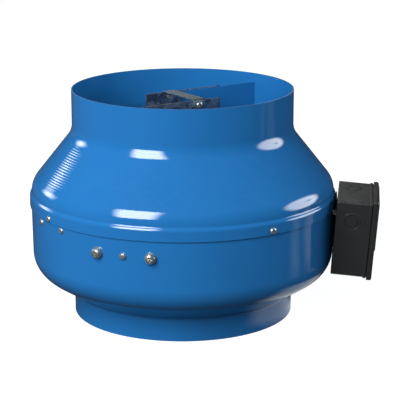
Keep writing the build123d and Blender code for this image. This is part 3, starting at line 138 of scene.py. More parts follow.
def turned_left(directions: np.ndarray) -> np.ndarray:
    """Each direction of the plane, a quarter turn to the left."""
    return np.stack([-directions[:, 1], directions[:, 0]], axis=1)


def rounded_path(corners: Points, bends: Sequence[float], steps: int) -> np.ndarray:
    """Straight runs joined by arcs.

    Each inner corner gives way to the arc that touches both of its runs. The arc starts
    bend * tan(turn / 2) before the corner, and its point at angle a lies sin(a) bends along the
    first run and 1 - cos(a) bends to the side of the turn.

    Args:
        corners: Corners of the outline, ends included.
        bends: Radius at each inner corner.
        steps: Points on each arc.

    Returns:
        The outline's points, one row each.
    """
    points = np.asarray(corners, float)
    parts = [points[:1]]
    for before, corner, after, bend in zip(points, points[1:], points[2:], bends):
        first = (corner - before) / np.linalg.norm(corner - before)
        second = (after - corner) / np.linalg.norm(after - corner)
        turn = math.acos(float(np.clip(first @ second, -1, 1)))
        side = (second - first * math.cos(turn)) / math.sin(turn)
        start = corner - first * bend * math.tan(turn / 2)
        angle = np.linspace(0, turn, steps)[:, None]
        parts.append(start + bend * (np.sin(angle) * first + (1 - np.cos(angle)) * side))
    parts.append(points[-1:])
    return np.concatenate(parts)


def moved_path(path: np.ndarray, depth: float) -> np.ndarray:
    """An outline moved to its left: each point goes depth along the mitre of its two runs.

    Args:
        path: The outline's points.
        depth: How far its runs move.

    Returns:
        The moved points.
    """
    runs = np.diff(path, axis=0)
    sides = turned_left(runs / np.linalg.norm(runs, axis=1)[:, None])
    mitre = np.concatenate([sides[:1], sides]) + np.concatenate([sides, sides[-1:]])
    return path + depth * 2 * mitre / (mitre * mitre).sum(axis=1)[:, None]


def blunt_end(end: np.ndarray, ahead: np.ndarray, side: np.ndarray, thickness: float,
              edge: float) -> np.ndarray:
    """Points round a sheet's cut edge, from one face to the other.

    The edge is a squared-off half ellipse: across it goes as the root of sin, ahead as the root
    of cos, so that it is flat in the middle and its corners are soft.

    Args:
        end: Point of the first face at the cut.
        ahead: Unit direction out of the sheet.
        side: Unit direction to the second face.
        thickness: Sheet thickness.
        edge: How far the cut stands out beyond the faces' ends.

    Returns:
        The points, without the two faces' own ends.
    """
    angle = np.linspace(-math.pi / 2, math.pi / 2, CUT_STEPS)[1:-1]
    across = np.sign(np.sin(angle)) * np.sqrt(np.abs(np.sin(angle))) / 2 + 0.5
    out = np.sqrt(np.cos(angle)) * edge
    return end + across[:, None] * side * thickness + out[:, None] * ahead


def sheet_section(path: np.ndarray, thickness: float, edge: float) -> np.ndarray:
    """Closed section of a bent sheet: one face, a blunt cut, the other face, a blunt cut.

    Args:
        path: One face of the sheet. The other lies to its left.
        thickness: Sheet thickness.
        edge: Length of the rounding at each cut, taken off both faces' ends.

    Returns:
        The closed outline, its first point not repeated.
    """
    ahead = (path[-1] - path[-2]) / np.linalg.norm(path[-1] - path[-2])
    back = (path[0] - path[1]) / np.linalg.norm(path[0] - path[1])
    face = path.copy()
    face[-1] -= ahead * edge
    face[0] -= back * edge
    far = blunt_end(face[-1], ahead, turned_left(ahead[None])[0], thickness, edge)
    near = blunt_end(face[0], back, turned_left(-back[None])[0], thickness, edge)
    return np.concatenate([face, far, moved_path(face, thickness)[::-1], near[::-1]])


def lathe_grid(section: np.ndarray, around: int) -> np.ndarray:
    """A surface turned about the axis.

    The point at angle a and section point (r, z) is (r cos a, r sin a, z).

    Args:
        section: Outline of (radius, height) points.
        around: Number of steps in the turn.

    Returns:
        A grid of points, one row for each angle.
    """
    angle = np.linspace(0, 2 * math.pi, around, endpoint=False)[:, None]
    radius, height = section[None, :, 0], section[None, :, 1]
    return np.stack([radius * np.cos(angle), radius * np.sin(angle),
                     np.broadcast_to(height, (around, height.shape[1]))], axis=2)


def rounded_frame(half_width: float, half_rise: float, corner: float) -> np.ndarray:
    """A rectangle with round corners: the points of its four arcs, anticlockwise.

    Args:
        half_width: Half of the rectangle across.
        half_rise: Half of the rectangle upwards.
        corner: Radius of its corners.

    Returns:
        The points, arc after arc.
    """
    signs = np.array([(1, 1), (-1, 1), (-1, -1), (1, -1)])
    middles = signs * (half_width - corner, half_rise - corner)
    turn = np.linspace(0, math.pi / 2, CORNER_STEPS)[None] + np.arange(4)[:, None] * math.pi / 2
    arcs = middles[:, None] + corner * np.stack([np.cos(turn), np.sin(turn)], axis=2)
    return arcs.reshape(-1, 2)


def tray_grid(half_width: float, half_rise: float, corner: float,
              profile: np.ndarray) -> np.ndarray:
    """A box-shaped shell: a profile carried round a rectangle with round corners.

    A profile point (inset, out) becomes the rectangle drawn in by inset, at the height out. The
    corner's radius shrinks by the same inset, as far as a least radius.

    Args:
        half_width: Half of the rectangle across.
        half_rise: Half of the rectangle upwards.
        corner: Radius of its corners.
        profile: The (inset, out) points, from the edge of one face to the edge of the other.

    Returns:
        A grid of (across, up, out) points, one row for each profile point.
    """
    frames = [rounded_frame(half_width - inset, half_rise - inset,
                            max(corner - inset, LEAST_CORNER)) for inset, _ in profile]
    return np.array([np.column_stack([frame, np.full(len(frame), out)])
                     for frame, (_, out) in zip(frames, profile)])


def tidy_mesh(mesh: Mesh, capped: bool = False) -> None:
    """Merges doubled points, drops faces without area and turns the normals outwards.

    Args:
        mesh: The mesh to tidy.
        capped: Whether its open ends get a flat face each.
    """
    work = bmesh.new()
    work.from_mesh(mesh)
    bmesh.ops.remove_doubles(work, verts=work.verts, dist=SAME_POINT)
    bmesh.ops.dissolve_degenerate(work, edges=work.edges, dist=NO_LENGTH)
    if capped:
        bmesh.ops.holes_fill(work, edges=work.edges, sides=0)
    bmesh.ops.recalc_face_normals(work, faces=work.faces)
    work.to_mesh(mesh)
    work.free()


def grid_mesh(name: str, grid: np.ndarray, closed_rows: bool, closed_columns: bool,
              run: np.ndarray | None = None) -> Mesh:
    """Writes a grid of points as a mesh of quads, with its seams and poles closed.

    Args:
        name: Name of the mesh.
        grid: Points in millimetres, rows by columns by three.
        closed_rows: Whether the last row joins the first.
        closed_columns: Whether the last column joins the first.
        run: Length along the columns in millimetres, for the second UV coordinate.

    Returns:
        The mesh, with its normals pointing outwards if it is closed.
    """
    rows, columns = grid.shape[:2]
    row, column = np.meshgrid(np.arange(rows - (not closed_rows)),
                              np.arange(columns - (not closed_columns)), indexing="ij")
    corner_rows = np.stack([row, row + 1, row + 1, row], axis=2)
    corner_columns = np.stack([column, column, column + 1, column + 1], axis=2)
    quads = (corner_rows % rows) * columns + corner_columns % columns
    mesh = bpy.data.meshes.new(name)
    mesh.vertices.add(rows * columns)
    mesh.vertices.foreach_set("co", (grid * MM).astype(np.float32).ravel())
    mesh.loops.add(quads.size)
    mesh.loops.foreach_set("vertex_index", quads.astype(np.int32).ravel())
    mesh.polygons.add(quads.size // 4)
    mesh.polygons.foreach_set("loop_start", np.arange(0, quads.size, 4, dtype=np.int32))
    mesh.update(calc_edges=True)
    if run is not None:
        layer = mesh.uv_layers.new(name="run")
        steps = np.append(run, run[-1] + np.linalg.norm(grid[0, -1] - grid[0, 0]))
        uv = np.stack([corner_rows / rows, steps[corner_columns] * MM], axis=3)
        layer.uv.foreach_set("vector", uv.astype(np.float32).ravel())
    tidy_mesh(mesh)
    return mesh


def joined_mesh(name: str, meshes: Sequence[Mesh]) -> Mesh:
    """One mesh that holds several, each as it stands.

    Args:
        name: The new mesh's name.
        meshes: The meshes to put in it.

    Returns:
        The new mesh.
    """
    work = bmesh.new()
    for mesh in meshes:
        work.from_mesh(mesh)
    whole = bpy.data.meshes.new(name)
    work.to_mesh(whole)
    work.free()
    return whole


def carved(mesh: Mesh, tools: Sequence[Mesh], carving: Carving) -> Mesh:
    """A closed mesh with others cut out of it or joined to it.

    Args:
        mesh: The solid to work on.
        tools: Closed meshes that don't touch each other.
        carving: What they do to it.

    Returns:
        The new mesh.
    """
    solid = bpy.data.objects.new("solid", mesh)
    tool = bpy.data.objects.new("tool", joined_mesh("tools", tools))
    for item in (solid, tool):
        bpy.context.scene.collection.objects.link(item)
    cut = solid.modifiers.new("cut", "BOOLEAN")
    cut.operation, cut.solver, cut.object = carving.value, "EXACT", tool
    result = bpy.data.meshes.new_from_object(
        solid.evaluated_get(bpy.context.evaluated_depsgraph_get()))
    for item in (solid, tool):
        bpy.data.objects.remove(item)
    tidy_mesh(result)
    return result


def placed(mesh: Mesh, place: Matrix) -> Mesh:
    """The mesh moved by a matrix given in millimetres.

    Args:
        mesh: The mesh, which is itself changed.
        place: Its new place.

    Returns:
        The same mesh.
    """
    metres = place.copy()
    metres.translation = place.translation * MM
    mesh.transform(metres)
    return mesh


def span(node: str) -> tuple[Vector, Vector]:
    """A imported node's lowest and highest corners, in millimetres."""
    return tuple(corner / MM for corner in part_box(node))


def add_piece(node: str, form: str, mesh: Mesh, material: Material,
              body: Body = Body.CASING) -> Piece:
    """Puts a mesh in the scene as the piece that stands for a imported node.

    Args:
        node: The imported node.
        form: What the piece is, which follows the node's name in its own.
        mesh: Its mesh, in place.
        material: Its finish.
        body: The body that it moves with.

    Returns:
        The new object, at the origin.
    """
    mesh.shade_smooth()
    mesh.set_sharp_from_angle(angle=CREASE)
    mesh.materials.append(material)
    piece = bpy.data.objects.new(f"{node}_{form}", mesh)
    bpy.context.scene.collection.objects.link(piece)
    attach(piece, body.value)
    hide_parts(node)
    LOG.info("%s: %d faces on %s", piece.name, len(mesh.polygons), body.value)
    return piece


def thicken(piece: Piece, thickness: float, edge: float) -> None:
    """Gives an open sheet its thickness, half to each side, and rounds its cut edges.

    Args:
        piece: The open sheet.
        thickness: Its thickness.
        edge: Width of the rounding.
    """
    shell = piece.modifiers.new("sheet", "SOLIDIFY")
    shell.thickness = thickness * MM
    shell.offset = 0
    rim = piece.modifiers.new("edges", "BEVEL")
    rim.width = edge * MM
    rim.segments = 3
    rim.limit_method = "ANGLE"
    rim.angle_limit = CUT_CREASE
    rim.harden_normals = True


def shade_evenly(piece: Piece) -> None:
    """Lets the large faces set the normals, so that long runs shade flat beside small bends.

    Args:
        piece: The piece to shade.
    """
    even = piece.modifiers.new("even_shading", "WEIGHTED_NORMAL")
    even.keep_sharp = True
    even.weight = FACE_WEIGHT


def emptied_tree(owner: Material | bpy.types.World | bpy.types.Light) -> bpy.types.NodeTree:
    """The node tree of a material, world or light, with nothing in it.

    Args:
        owner: What the tree belongs to.

    Returns:
        The empty tree.
    """
    owner.use_nodes = True
    owner.node_tree.nodes.clear()
    return owner.node_tree


class Graph:
    """Adds and wires the nodes of one shader tree."""

    def __init__(self, tree: bpy.types.NodeTree) -> None:
        """Starts on a tree."""
        self.tree = tree

    def add(self, kind: str, values: dict | None = None, **settings: object) -> bpy.types.Node:
        """Adds a node.

        Args:
            kind: Node type, without the ShaderNode in front.
            values: For each input, by name or number, a socket to link or a value to set.
            **settings: Properties of the node itself, set before its inputs.

        Returns:
            The node.
        """
        node = self.tree.nodes.new(kind if kind.startswith("Node") else "ShaderNode" + kind)
        for key, setting in settings.items():
            setattr(node, key, setting)
        for key, value in (values or {}).items():
            socket = node.inputs[key]
            if isinstance(value, Socket):
                self.tree.links.new(value, socket)
            elif socket.type == "RGBA":
                socket.default_value = (*value, 1)
            else:
                socket.default_value = value
        return node

    def math(self, operation: str, *values: Socket | float) -> Socket:
        """The result of a Math node."""
        return self.add("Math", dict(enumerate(values)), operation=operation).outputs[0]

    def times(self, first: Socket | float, *others: Socket | float) -> Socket:
        """The product of two or more values."""
        for other in others:
            first = self.math("MULTIPLY", first, other)
        return first

    def vector(self, operation: str, output: str, *values: Socket | tuple) -> Socket:
        """An output, Vector or Value, of a Vector Math node."""
        return self.add("VectorMath", dict(enumerate(values)), operation=operation).outputs[output]

    def parts(self, vector: Socket) -> Sequence[Socket]:
        """The three parts of a vector."""
        return self.add("SeparateXYZ", {0: vector}).outputs

    def noise(self, position: Socket, scale: Socket | float, detail: float = 2.0,
              roughness: float = 0.5) -> Socket:
        """The value of a noise texture."""
        return self.add("TexNoise", {"Vector": position, "Scale": scale, "Detail": detail,
                                     "Roughness": roughness}).outputs[0]

    def ramp(self, value: Socket, low: float, high: float, start: Socket | float = 0.0,
             end: Socket | float = 1.0) -> Socket:
        """A value brought from low..high to start..end, and held there."""
        return self.add("MapRange", {0: value, 1: low, 2: high, 3: start, 4: end}).outputs[0]

    def band(self, value: Socket, low: float, high: float, rise: float, fall: float) -> Socket:
        """One between low and high, which it reaches over rise and leaves over fall, else zero."""
        return self.times(self.ramp(value, low, low + rise),
                          self.ramp(value, high - fall, high, 1.0, 0.0))

    def blend(self, factor: Socket, first: Socket | Colour, second: Socket | Colour) -> Socket:
        """Two colours mixed by a factor, at the Mix node's own colour sockets."""
        return self.add("Mix", {0: factor, 6: first, 7: second}, data_type="RGBA").outputs[2]

    def by_ray(self, seen: Socket, glossy: Socket, rest: Socket) -> Socket:
        """A shader that shows one face to the camera, one to gloss and one to all other light.

        Args:
            seen: The shader for the camera.
            glossy: The shader for glossy rays.
            rest: The shader for the rest.

        Returns:
            The mixed shader.
        """
        path = self.add("LightPath").outputs
        far = self.add("MixShader", {0: path["Is Glossy Ray"], 1: rest, 2: glossy}).outputs[0]
        return self.add("MixShader", {0: path["Is Camera Ray"], 1: far, 2: seen}).outputs[0]


def new_group(name: str, inputs: dict[str, object],
              wire: Callable[[Graph, dict[str, Socket]], dict[str, Socket]]) -> bpy.types.NodeTree:
    """Makes a shader group.

    Args:
        name: The group's name.
        inputs: Each input's default: a number, a colour with its alpha, or None for a vector.
        wire: Wires the group from its inputs, and returns its outputs by name.

    Returns:
        The group.
    """
    tree = bpy.data.node_groups.new(name, "ShaderNodeTree")
    graph = Graph(tree)
    for label, default in inputs.items():
        kind = "Vector" if default is None else "Float" if isinstance(default, float) else "Color"
        socket = tree.interface.new_socket(label, in_out="INPUT", socket_type="NodeSocket" + kind)
        if default is not None:
            socket.default_value = default
    outputs = wire(graph, graph.add("NodeGroupInput").outputs)
    for label, socket in outputs.items():
        kind = "Color" if socket.type == "RGBA" else "Float"
        tree.interface.new_socket(label, in_out="OUTPUT", socket_type="NodeSocket" + kind)
    graph.add("NodeGroupOutput", outputs)
    return tree


class Effects:
    """The node groups that several finishes share, each built once."""

    def __init__(self) -> None:
        """Builds the groups."""
        self.drift = new_group("tone_drift", {"Position": None, "Light": (1, 1, 1, 1),
                                              "Dark": (0, 0, 0, 1), "Scale": 12.0}, self.drifting)
        self.grain = new_group("fine_grain", {"Position": None, "Scale": 900.0, "Smooth": 0.3,
                                              "Rough": 0.4}, self.grained)
        self.dust = new_group("dust_film", {"Position": None, "Amount": 0.2}, self.dusty)

    @staticmethod
    def drifting(graph: Graph, inputs: dict[str, Socket]) -> dict[str, Socket]:
        """A slow change of tone over a surface: a colour mixed between two by noise."""
        mask = graph.ramp(graph.noise(inputs["Position"], inputs["Scale"], 4.0), 0.35, 0.65)
        return {"Colour": graph.blend(mask, inputs["Dark"], inputs["Light"])}

    @staticmethod
    def grained(graph: Graph, inputs: dict[str, Socket]) -> dict[str, Socket]:
        """Fine relief: two sizes of noise, as a height and as a roughness.

        Args:
            graph: The group's graph.
            inputs: The group's inputs.

        Returns:
            The group's outputs.
        """
        broad = graph.noise(inputs["Position"], graph.times(inputs["Scale"], 0.06), 5.0, 0.65)
        return {"Height": graph.noise(inputs["Position"], inputs["Scale"], 3.0),
                "Roughness": graph.ramp(broad, 0.3, 0.7, inputs["Smooth"], inputs["Rough"])}

    @staticmethod
    def dusty(graph: Graph, inputs: dict[str, Socket]) -> dict[str, Socket]:
        """A film of dust: a mask that is strong where the surface faces up, broken by noise.

        Args:
            graph: The group's graph.
            inputs: The group's inputs.

        Returns:
            The group's output.
        """
        facing = graph.parts(graph.add("NewGeometry").outputs["Normal"])[2]
        specks = graph.ramp(graph.noise(inputs["Position"], 160.0, 6.0, 0.7), 0.35, 0.75)
        return {"Mask": graph.times(graph.ramp(facing, 0.2, 0.95), specks, inputs["Amount"])}


class FinishGraph(Graph):
    """The graph of one finish, which places the shared effects with the finish's own values."""

    def __init__(self, tree: bpy.types.NodeTree, finish: Finish, effects: Effects) -> None:
        """Starts on a material's tree, with the place on the piece.

        Args:
            tree: The material's tree.
            finish: The finish that it shows.
            effects: The shared node groups.
        """
        super().__init__(tree)
        self.finish, self.effects = finish, effects
        self.position = self.add("TexCoord").outputs["Object"]

    def tone(self) -> Socket:
        """The finish's slow change between its two tones."""
        values = {"Position": self.position, "Light": self.finish.light,
                  "Dark": self.finish.dark, "Scale": self.finish.drift_scale}
        return self.add("Group", values, node_tree=self.effects.drift).outputs[0]

    def grain(self) -> Sequence[Socket]:
        """The height of the finish's fine relief, and its gloss."""
        values = {"Position": self.position, "Scale": self.finish.grain,
                  "Smooth": self.finish.smooth, "Rough": self.finish.rough}
        return self.add("Group", values, node_tree=self.effects.grain).outputs

    def dusted(self, colour: Socket, amount: float, dust: Colour) -> Socket:
        """A colour with some dust on what faces up."""
        film = self.add("Group", {"Position": self.position, "Amount": amount},
                        node_tree=self.effects.dust).outputs[0]
        return self.blend(film, colour, dust)

    def bump(self, height: Socket, depth: float, normal: Socket | None = None) -> Socket:
        """A normal from a height, whose unit is depth metres, over another normal if any."""
        values = {"Height": height, "Distance": depth, "Strength": 1.0}
        return self.add("Bump", values | ({"Normal": normal} if normal else {})).outputs[0]

    def phase(self, length: Socket, pitch: float) -> Socket:
        """How far a wave of that pitch has come after a length, in radians."""
        return self.times(length, 2 * math.pi / pitch)


Layers = tuple[Socket, Socket, Socket]


@dataclass(frozen=True)
class Finish:
    """A surface finish.

    Attributes:
        name: The material's name.
        light: Its lighter tone.
        dark: Its darker tone.
        smooth: Its roughness where it is smoothest.
        rough: Its roughness where it is roughest.
        drift_scale: Scale of the slow change between its tones.
        metal: How metallic it is.
        index: Its index of refraction.
        grain: Scale of its fine relief.
        relief: Height of that relief.
    """

    name: str
    light: Colour
    dark: Colour
    smooth: float = 0.3
    rough: float = 0.4
    drift_scale: float = 14.0
    metal: float = 0.0
    index: float = 1.5
    grain: float = 900.0
    relief: float = 0.00003

    def material(self, effects: Effects) -> Material:
        """Builds the material.

        Args:
            effects: The shared node groups.

        Returns:
            The new material.
        """
        material = bpy.data.materials.new(self.name)
        graph = FinishGraph(emptied_tree(material), self, effects)
        colour, gloss, normal = self.layers(graph)
        shader = graph.add("BsdfPrincipled", {"Base Color": colour, "Roughness": gloss,
                                              "Normal": normal, "Metallic": self.metal,
                                              "IOR": self.index})
        graph.add("OutputMaterial", {0: shader.outputs[0]})
        material.diffuse_color = (*self.light, 1)
        return material

    def layers(self, graph: FinishGraph) -> Layers:
        """Wires the finish's colour, gloss and normal; every finish has its own."""
        raise NotImplementedError


@dataclass(frozen=True)
class PowderPaint(Finish):
    """Glossy stoved paint, over the rings that the spinning roller leaves where ring is set.

    Attributes:
        ring: Height of the rings.
        ring_pitch: Distance from one to the next.
        ring_wander: How far they wander, in radians of their wave.
        ring_zone: Where the deep ones start and end above the foot, how fast they rise and fall.
        ring_side: Where they fade along x, and their share before and after.
        faint_ring: Share of their height that is left elsewhere.
        dust: How much dust lies on what faces up.
        dust_tone: Its colour.
    """

    index: float = 1.72
    grain: float = 420.0
    relief: float = 0.000004
    ring: float = 0.0
    ring_pitch: float = 0.003
    ring_wander: float = 3.0
    ring_zone: tuple[float, float, float, float] = (0.158, 0.202, 0.008, 0.006)
    ring_side: tuple[float, float, float, float] = (-0.13, -0.05, 1.0, 0.04)
    faint_ring: float = 0.02
    dust: float = 0.035
    dust_tone: Colour = (0.42, 0.43, 0.42)

    def layers(self, graph: FinishGraph) -> Layers:
        """Two blues with orange peel, a trace of dust and, on spun pieces, rings.

        Args:
            graph: The finish's graph.

        Returns:
            Colour, gloss and normal.
        """
        height, gloss = graph.grain()
        normal = graph.bump(height, self.relief)
        if self.ring:
            normal = graph.bump(self.rings(graph), self.ring, normal)
        return graph.dusted(graph.tone(), self.dust, self.dust_tone), gloss, normal

    def rings(self, graph: FinishGraph) -> Socket:
        """Height of the rings.

        It is the sine of the length along the sheet over the pitch. The length wanders a little.
        The rings are deep on the cone, where the roller pressed hardest, and more so on one side,
        and nearly fade out elsewhere.

        Args:
            graph: The finish's graph.

        Returns:
            The height, from -1 to 1.
        """
        run = graph.parts(graph.add("UVMap", uv_map="run").outputs[0])[1]
        wander = graph.add("TexNoise", {"W": run, "Scale": 90.0, "Detail": 1.0},
                           noise_dimensions="1D").outputs[0]
        phase = graph.math("ADD", graph.phase(run, self.ring_pitch),
                           graph.times(wander, self.ring_wander))
        place = graph.parts(graph.position)
        deep = graph.times(graph.band(place[2], *self.ring_zone),
                           graph.ramp(place[0], *self.ring_side))
        patches = graph.ramp(graph.noise(graph.position, 24.0), 0.35, 0.65, 0.7, 1.0)
        share = graph.math("ADD", deep, self.faint_ring)
        return graph.times(graph.math("SINE", phase), share, patches)


@dataclass(frozen=True)
class Galvanised(Finish):
    """Hot-dip galvanised sheet: flat crystals, each with its own tone and gloss."""

    metal: float = 0.92
    grain: float = 1400.0
    relief: float = 0.000006
    crystal: float = 150.0
    crystal_relief: float = 0.00001
    crystal_gloss: tuple[float, float] = (-0.07, 0.09)
    fleck: float = 3.1
    fleck_share: float = 0.3
    border_bend: float = 0.012

    def layers(self, graph: FinishGraph) -> Layers:
        """Crystals from a Voronoi pattern whose borders are bent by noise.

        Args:
            graph: The finish's graph.

        Returns:
            Colour, gloss and normal.
        """
        bend = graph.add("TexNoise", {"Vector": graph.position, "Scale": 60.0}).outputs[1]
        shift = graph.add("VectorMath", {0: bend, "Scale": self.border_bend},
                          operation="SCALE").outputs[0]
        warped = graph.vector("ADD", "Vector", graph.position, shift)
        cells, specks = (graph.add("TexVoronoi", {"Vector": warped, "Scale": scale})
                         .outputs["Color"] for scale in (self.crystal, self.crystal * self.fleck))
        level = graph.add("SeparateColor", {0: cells}).outputs[0]
        fleck = graph.add("SeparateColor", {0: specks}).outputs[1]
        mixed = graph.math("ADD", graph.times(level, 1 - self.fleck_share),
                           graph.times(fleck, self.fleck_share))
        height, gloss = graph.grain()
        gloss = graph.math("ADD", graph.ramp(level, 0.0, 1.0, *self.crystal_gloss), gloss)
        normal = graph.bump(mixed, self.crystal_relief, graph.bump(height, self.relief))
        return graph.blend(mixed, self.dark, self.light), gloss, normal


@dataclass(frozen=True)
class Plated(Finish):
    """Plated or machined metal: bright, with a tint that shifts and fine scratches."""

    metal: float = 1.0
    grain: float = 2600.0
    relief: float = 0.000004
    tint: Colour = (0.8, 0.8, 0.8)
    tint_scale: float = 340.0
    scratch: float = 0.6
    scratch_scale: float = 700.0
    drawn: tuple[float, float, float] = (1, 1, 14)

    def layers(self, graph: FinishGraph) -> Layers:
        """Two tones, a tint in patches and scratches drawn out along one axis.

        Args:
            graph: The finish's graph.

        Returns:
            Colour, gloss and normal.
        """
        patches = graph.ramp(graph.noise(graph.position, self.tint_scale, 3.0), 0.45, 0.7)
        height, gloss = graph.grain()
        drawn = graph.add("Mapping", {"Vector": graph.position, "Scale": self.drawn}).outputs[0]
        scratches = graph.times(graph.noise(drawn, self.scratch_scale, 4.0, 0.7), self.scratch)
        normal = graph.bump(graph.math("ADD", scratches, height), self.relief)
        return graph.blend(patches, graph.tone(), self.tint), gloss, normal


@dataclass(frozen=True)
class CastMetal(Finish):
    """Die-cast or painted metal with a pebbled skin."""

    metal: float = 1.0

    def layers(self, graph: FinishGraph) -> Layers:
        """A pebbled relief, darker in its hollows.

        Args:
            graph: The finish's graph.

        Returns:
            Colour, gloss and normal.
        """
        height, gloss = graph.grain()
        hollow = graph.ramp(height, 0.3, 0.55, 0.45, 0.0)
        return graph.blend(hollow, graph.tone(), self.dark), gloss, graph.bump(height, self.relief)


@dataclass(frozen=True)
class Laminated(Finish):
    """Stacked sheets seen from their edges: thin dark joints across the stack."""

    metal: float = 0.85
    grain: float = 1500.0
    pitch: float = 0.0005

    def layers(self, graph: FinishGraph) -> Layers:
        """Stripes by height, whose joints are dark and low.

        Args:
            graph: The finish's graph.

        Returns:
            Colour, gloss and normal.
        """
        wave = graph.math("SINE", graph.phase(graph.parts(graph.position)[2], self.pitch))
        joint = graph.ramp(wave, -1.0, -0.4, 0.8, 0.0)
        height, gloss = graph.grain()
        normal = graph.bump(graph.math("ADD", wave, height), self.relief)
        return graph.blend(joint, graph.tone(), self.dark), gloss, normal


@dataclass(frozen=True)
class Wound(Finish):
    """Enamelled wire laid side by side round each slot."""

    metal: float = 0.6
    grain: float = 1200.0
    relief: float = 0.00012
    wire: float = 0.0007
    sway: float = 0.003

    def layers(self, graph: FinishGraph) -> Layers:
        """Strands from the sine of height plus distance to the axis, bent by noise.

        Args:
            graph: The finish's graph.

        Returns:
            Colour, gloss and normal.
        """
        flat = graph.vector("MULTIPLY", "Vector", graph.position, (1, 1, 0))
        reach = graph.vector("LENGTH", "Value", flat)
        along = graph.math("ADD", reach, graph.parts(graph.position)[2])
        bend = graph.times(graph.noise(graph.position, 120.0), self.sway)
        strand = graph.math("SINE", graph.phase(graph.math("ADD", along, bend), self.wire))
        gap = graph.ramp(strand, -1.0, -0.3, 0.75, 0.0)
        return (graph.blend(gap, graph.tone(), self.dark), graph.grain()[1],
                graph.bump(strand, self.relief))


@dataclass(frozen=True)
class Moulded(Finish):
    """Moulded plastic or rubber with a spark-eroded skin and faint scuffs."""

    grain: float = 1500.0
    relief: float = 0.00002
    scuff: float = 0.25
    scuff_tone: Colour = (0.2, 0.2, 0.2)
    scuff_scale: float = 90.0
    dust: float = 0.1
    dust_tone: Colour = (0.35, 0.34, 0.31)

    def layers(self, graph: FinishGraph) -> Layers:
        """Skin relief, scuffs that pale the colour, and dust on what faces up.

        Args:
            graph: The finish's graph.

        Returns:
            Colour, gloss and normal.
        """
        stretched = graph.add("Mapping", {"Vector": graph.position, "Rotation": (0.4, 0.2, 0.9),
                                          "Scale": (1, 9, 3)}).outputs[0]
        marks = graph.ramp(graph.noise(stretched, self.scuff_scale, 8.0, 0.75), 0.62, 0.8)
        pale = graph.blend(graph.times(marks, self.scuff), graph.tone(), self.scuff_tone)
        height, gloss = graph.grain()
        return (graph.dusted(pale, self.dust, self.dust_tone), gloss,
                graph.bump(height, self.relief))


BLUES = (0.0155, 0.162, 0.45), (0.0145, 0.152, 0.43)
SPUN_PAINT = PowderPaint("spun_blue_paint", *BLUES, 0.05, 0.1, ring=0.00011)
FINISHES: dict[Slot, Finish] = {
    Slot.BLUE_PAINT: PowderPaint("flat_blue_paint", *BLUES, 0.05, 0.1),
    # Both zinc tones are tinted blue: a painted reflection of the blue casing round the bracket.
    Slot.GALVANISED: Galvanised("spangled_zinc_painted_blue_reflection", (0.44, 0.56, 0.66), (0.13, 0.2, 0.28),
                                0.24, 0.38),
    Slot.ZINC: Plated("bright_zinc", (0.72, 0.75, 0.74), (0.5, 0.53, 0.52), 0.22, 0.36, 120.0,
                      0.85, tint=(0.62, 0.68, 0.66)),
    Slot.YELLOW_ZINC: Plated("yellow_passivated_zinc", (0.7, 0.52, 0.22), (0.5, 0.38, 0.16),
                             0.25, 0.38, 160.0, tint=(0.55, 0.6, 0.32)),
    Slot.CAST_ALUMINIUM: CastMetal("die_cast_aluminium", (0.56, 0.57, 0.58), (0.32, 0.33, 0.34),
                                   0.42, 0.55, 30.0),
    Slot.MOTOR_PAINT: CastMetal("baked_black_enamel", (0.02, 0.021, 0.023), (0.01, 0.01, 0.011),
                                0.3, 0.42, 30.0, 0.0, grain=1300.0, relief=0.00001),
    Slot.BRIGHT_STEEL: Plated("turned_steel", (0.66, 0.66, 0.65), (0.5, 0.5, 0.49), 0.14, 0.26,
                              90.0, tint=(0.6, 0.58, 0.54)),
    Slot.LAMINATIONS: Laminated("silicon_steel_stack", (0.34, 0.34, 0.35), (0.07, 0.065, 0.06),
                                0.35, 0.5, 60.0),
    Slot.COPPER: Wound("enamelled_copper", (0.56, 0.22, 0.08), (0.12, 0.035, 0.015), 0.22, 0.34,
                       50.0),
    Slot.LEAD_SHEATH: Moulded("soft_lead_sheath", (0.022, 0.022, 0.023), (0.014, 0.014, 0.015),
                              0.4, 0.52, 40.0, dust=0.3),
    Slot.RUBBER: Moulded("black_rubber_skin", (0.016, 0.016, 0.016), (0.011, 0.011, 0.011),
                         0.55, 0.7, 40.0, dust=0.3),
    Slot.BLACK_PLASTIC: Moulded("black_moulded_plastic", (0.023, 0.0245, 0.0255),
                                (0.019, 0.0205, 0.0215), 0.3, 0.42, 20.0, dust=0.22),
    Slot.BLOCK_PLASTIC: Moulded("ivory_moulded_plastic", (0.62, 0.6, 0.53), (0.55, 0.53, 0.46),
                                0.3, 0.42, 40.0, scuff=0.1),
    Slot.CAPACITOR_CASE: Moulded("pale_capacitor_case", (0.5, 0.51, 0.5), (0.43, 0.44, 0.43),
                                 0.28, 0.4, 40.0, scuff=0.1),
    Slot.WIRE: Moulded("wire_insulation_skin", (0.05, 0.05, 0.055), (0.03, 0.03, 0.035), 0.3,
                       0.4, 60.0, scuff=0.0, dust=0.0)}


class Palette:
    """The fan's materials, one for each slot, and the spun paint that follows a sheet's run."""

    def __init__(self) -> None:
        """Builds every material once."""
        effects = Effects()
        self.spun_paint = SPUN_PAINT.material(effects)
        self.materials = {slot: finish.material(effects) for slot, finish in FINISHES.items()}

    def __getitem__(self, slot: Slot) -> Material:
        """The material of a slot."""
        return self.materials[slot]

    def dress_nodes(self, nodes: dict[str, Piece]) -> None:
        """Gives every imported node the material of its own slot.

        Args:
            nodes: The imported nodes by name.
        """
        for name, node in nodes.items():
            slot = Slot(node.material_slots[0].material.name.split(".")[0])
            node.material_slots[0].material = self.materials[slot]
            LOG.info("%s: dressed as %s", name, slot.value)


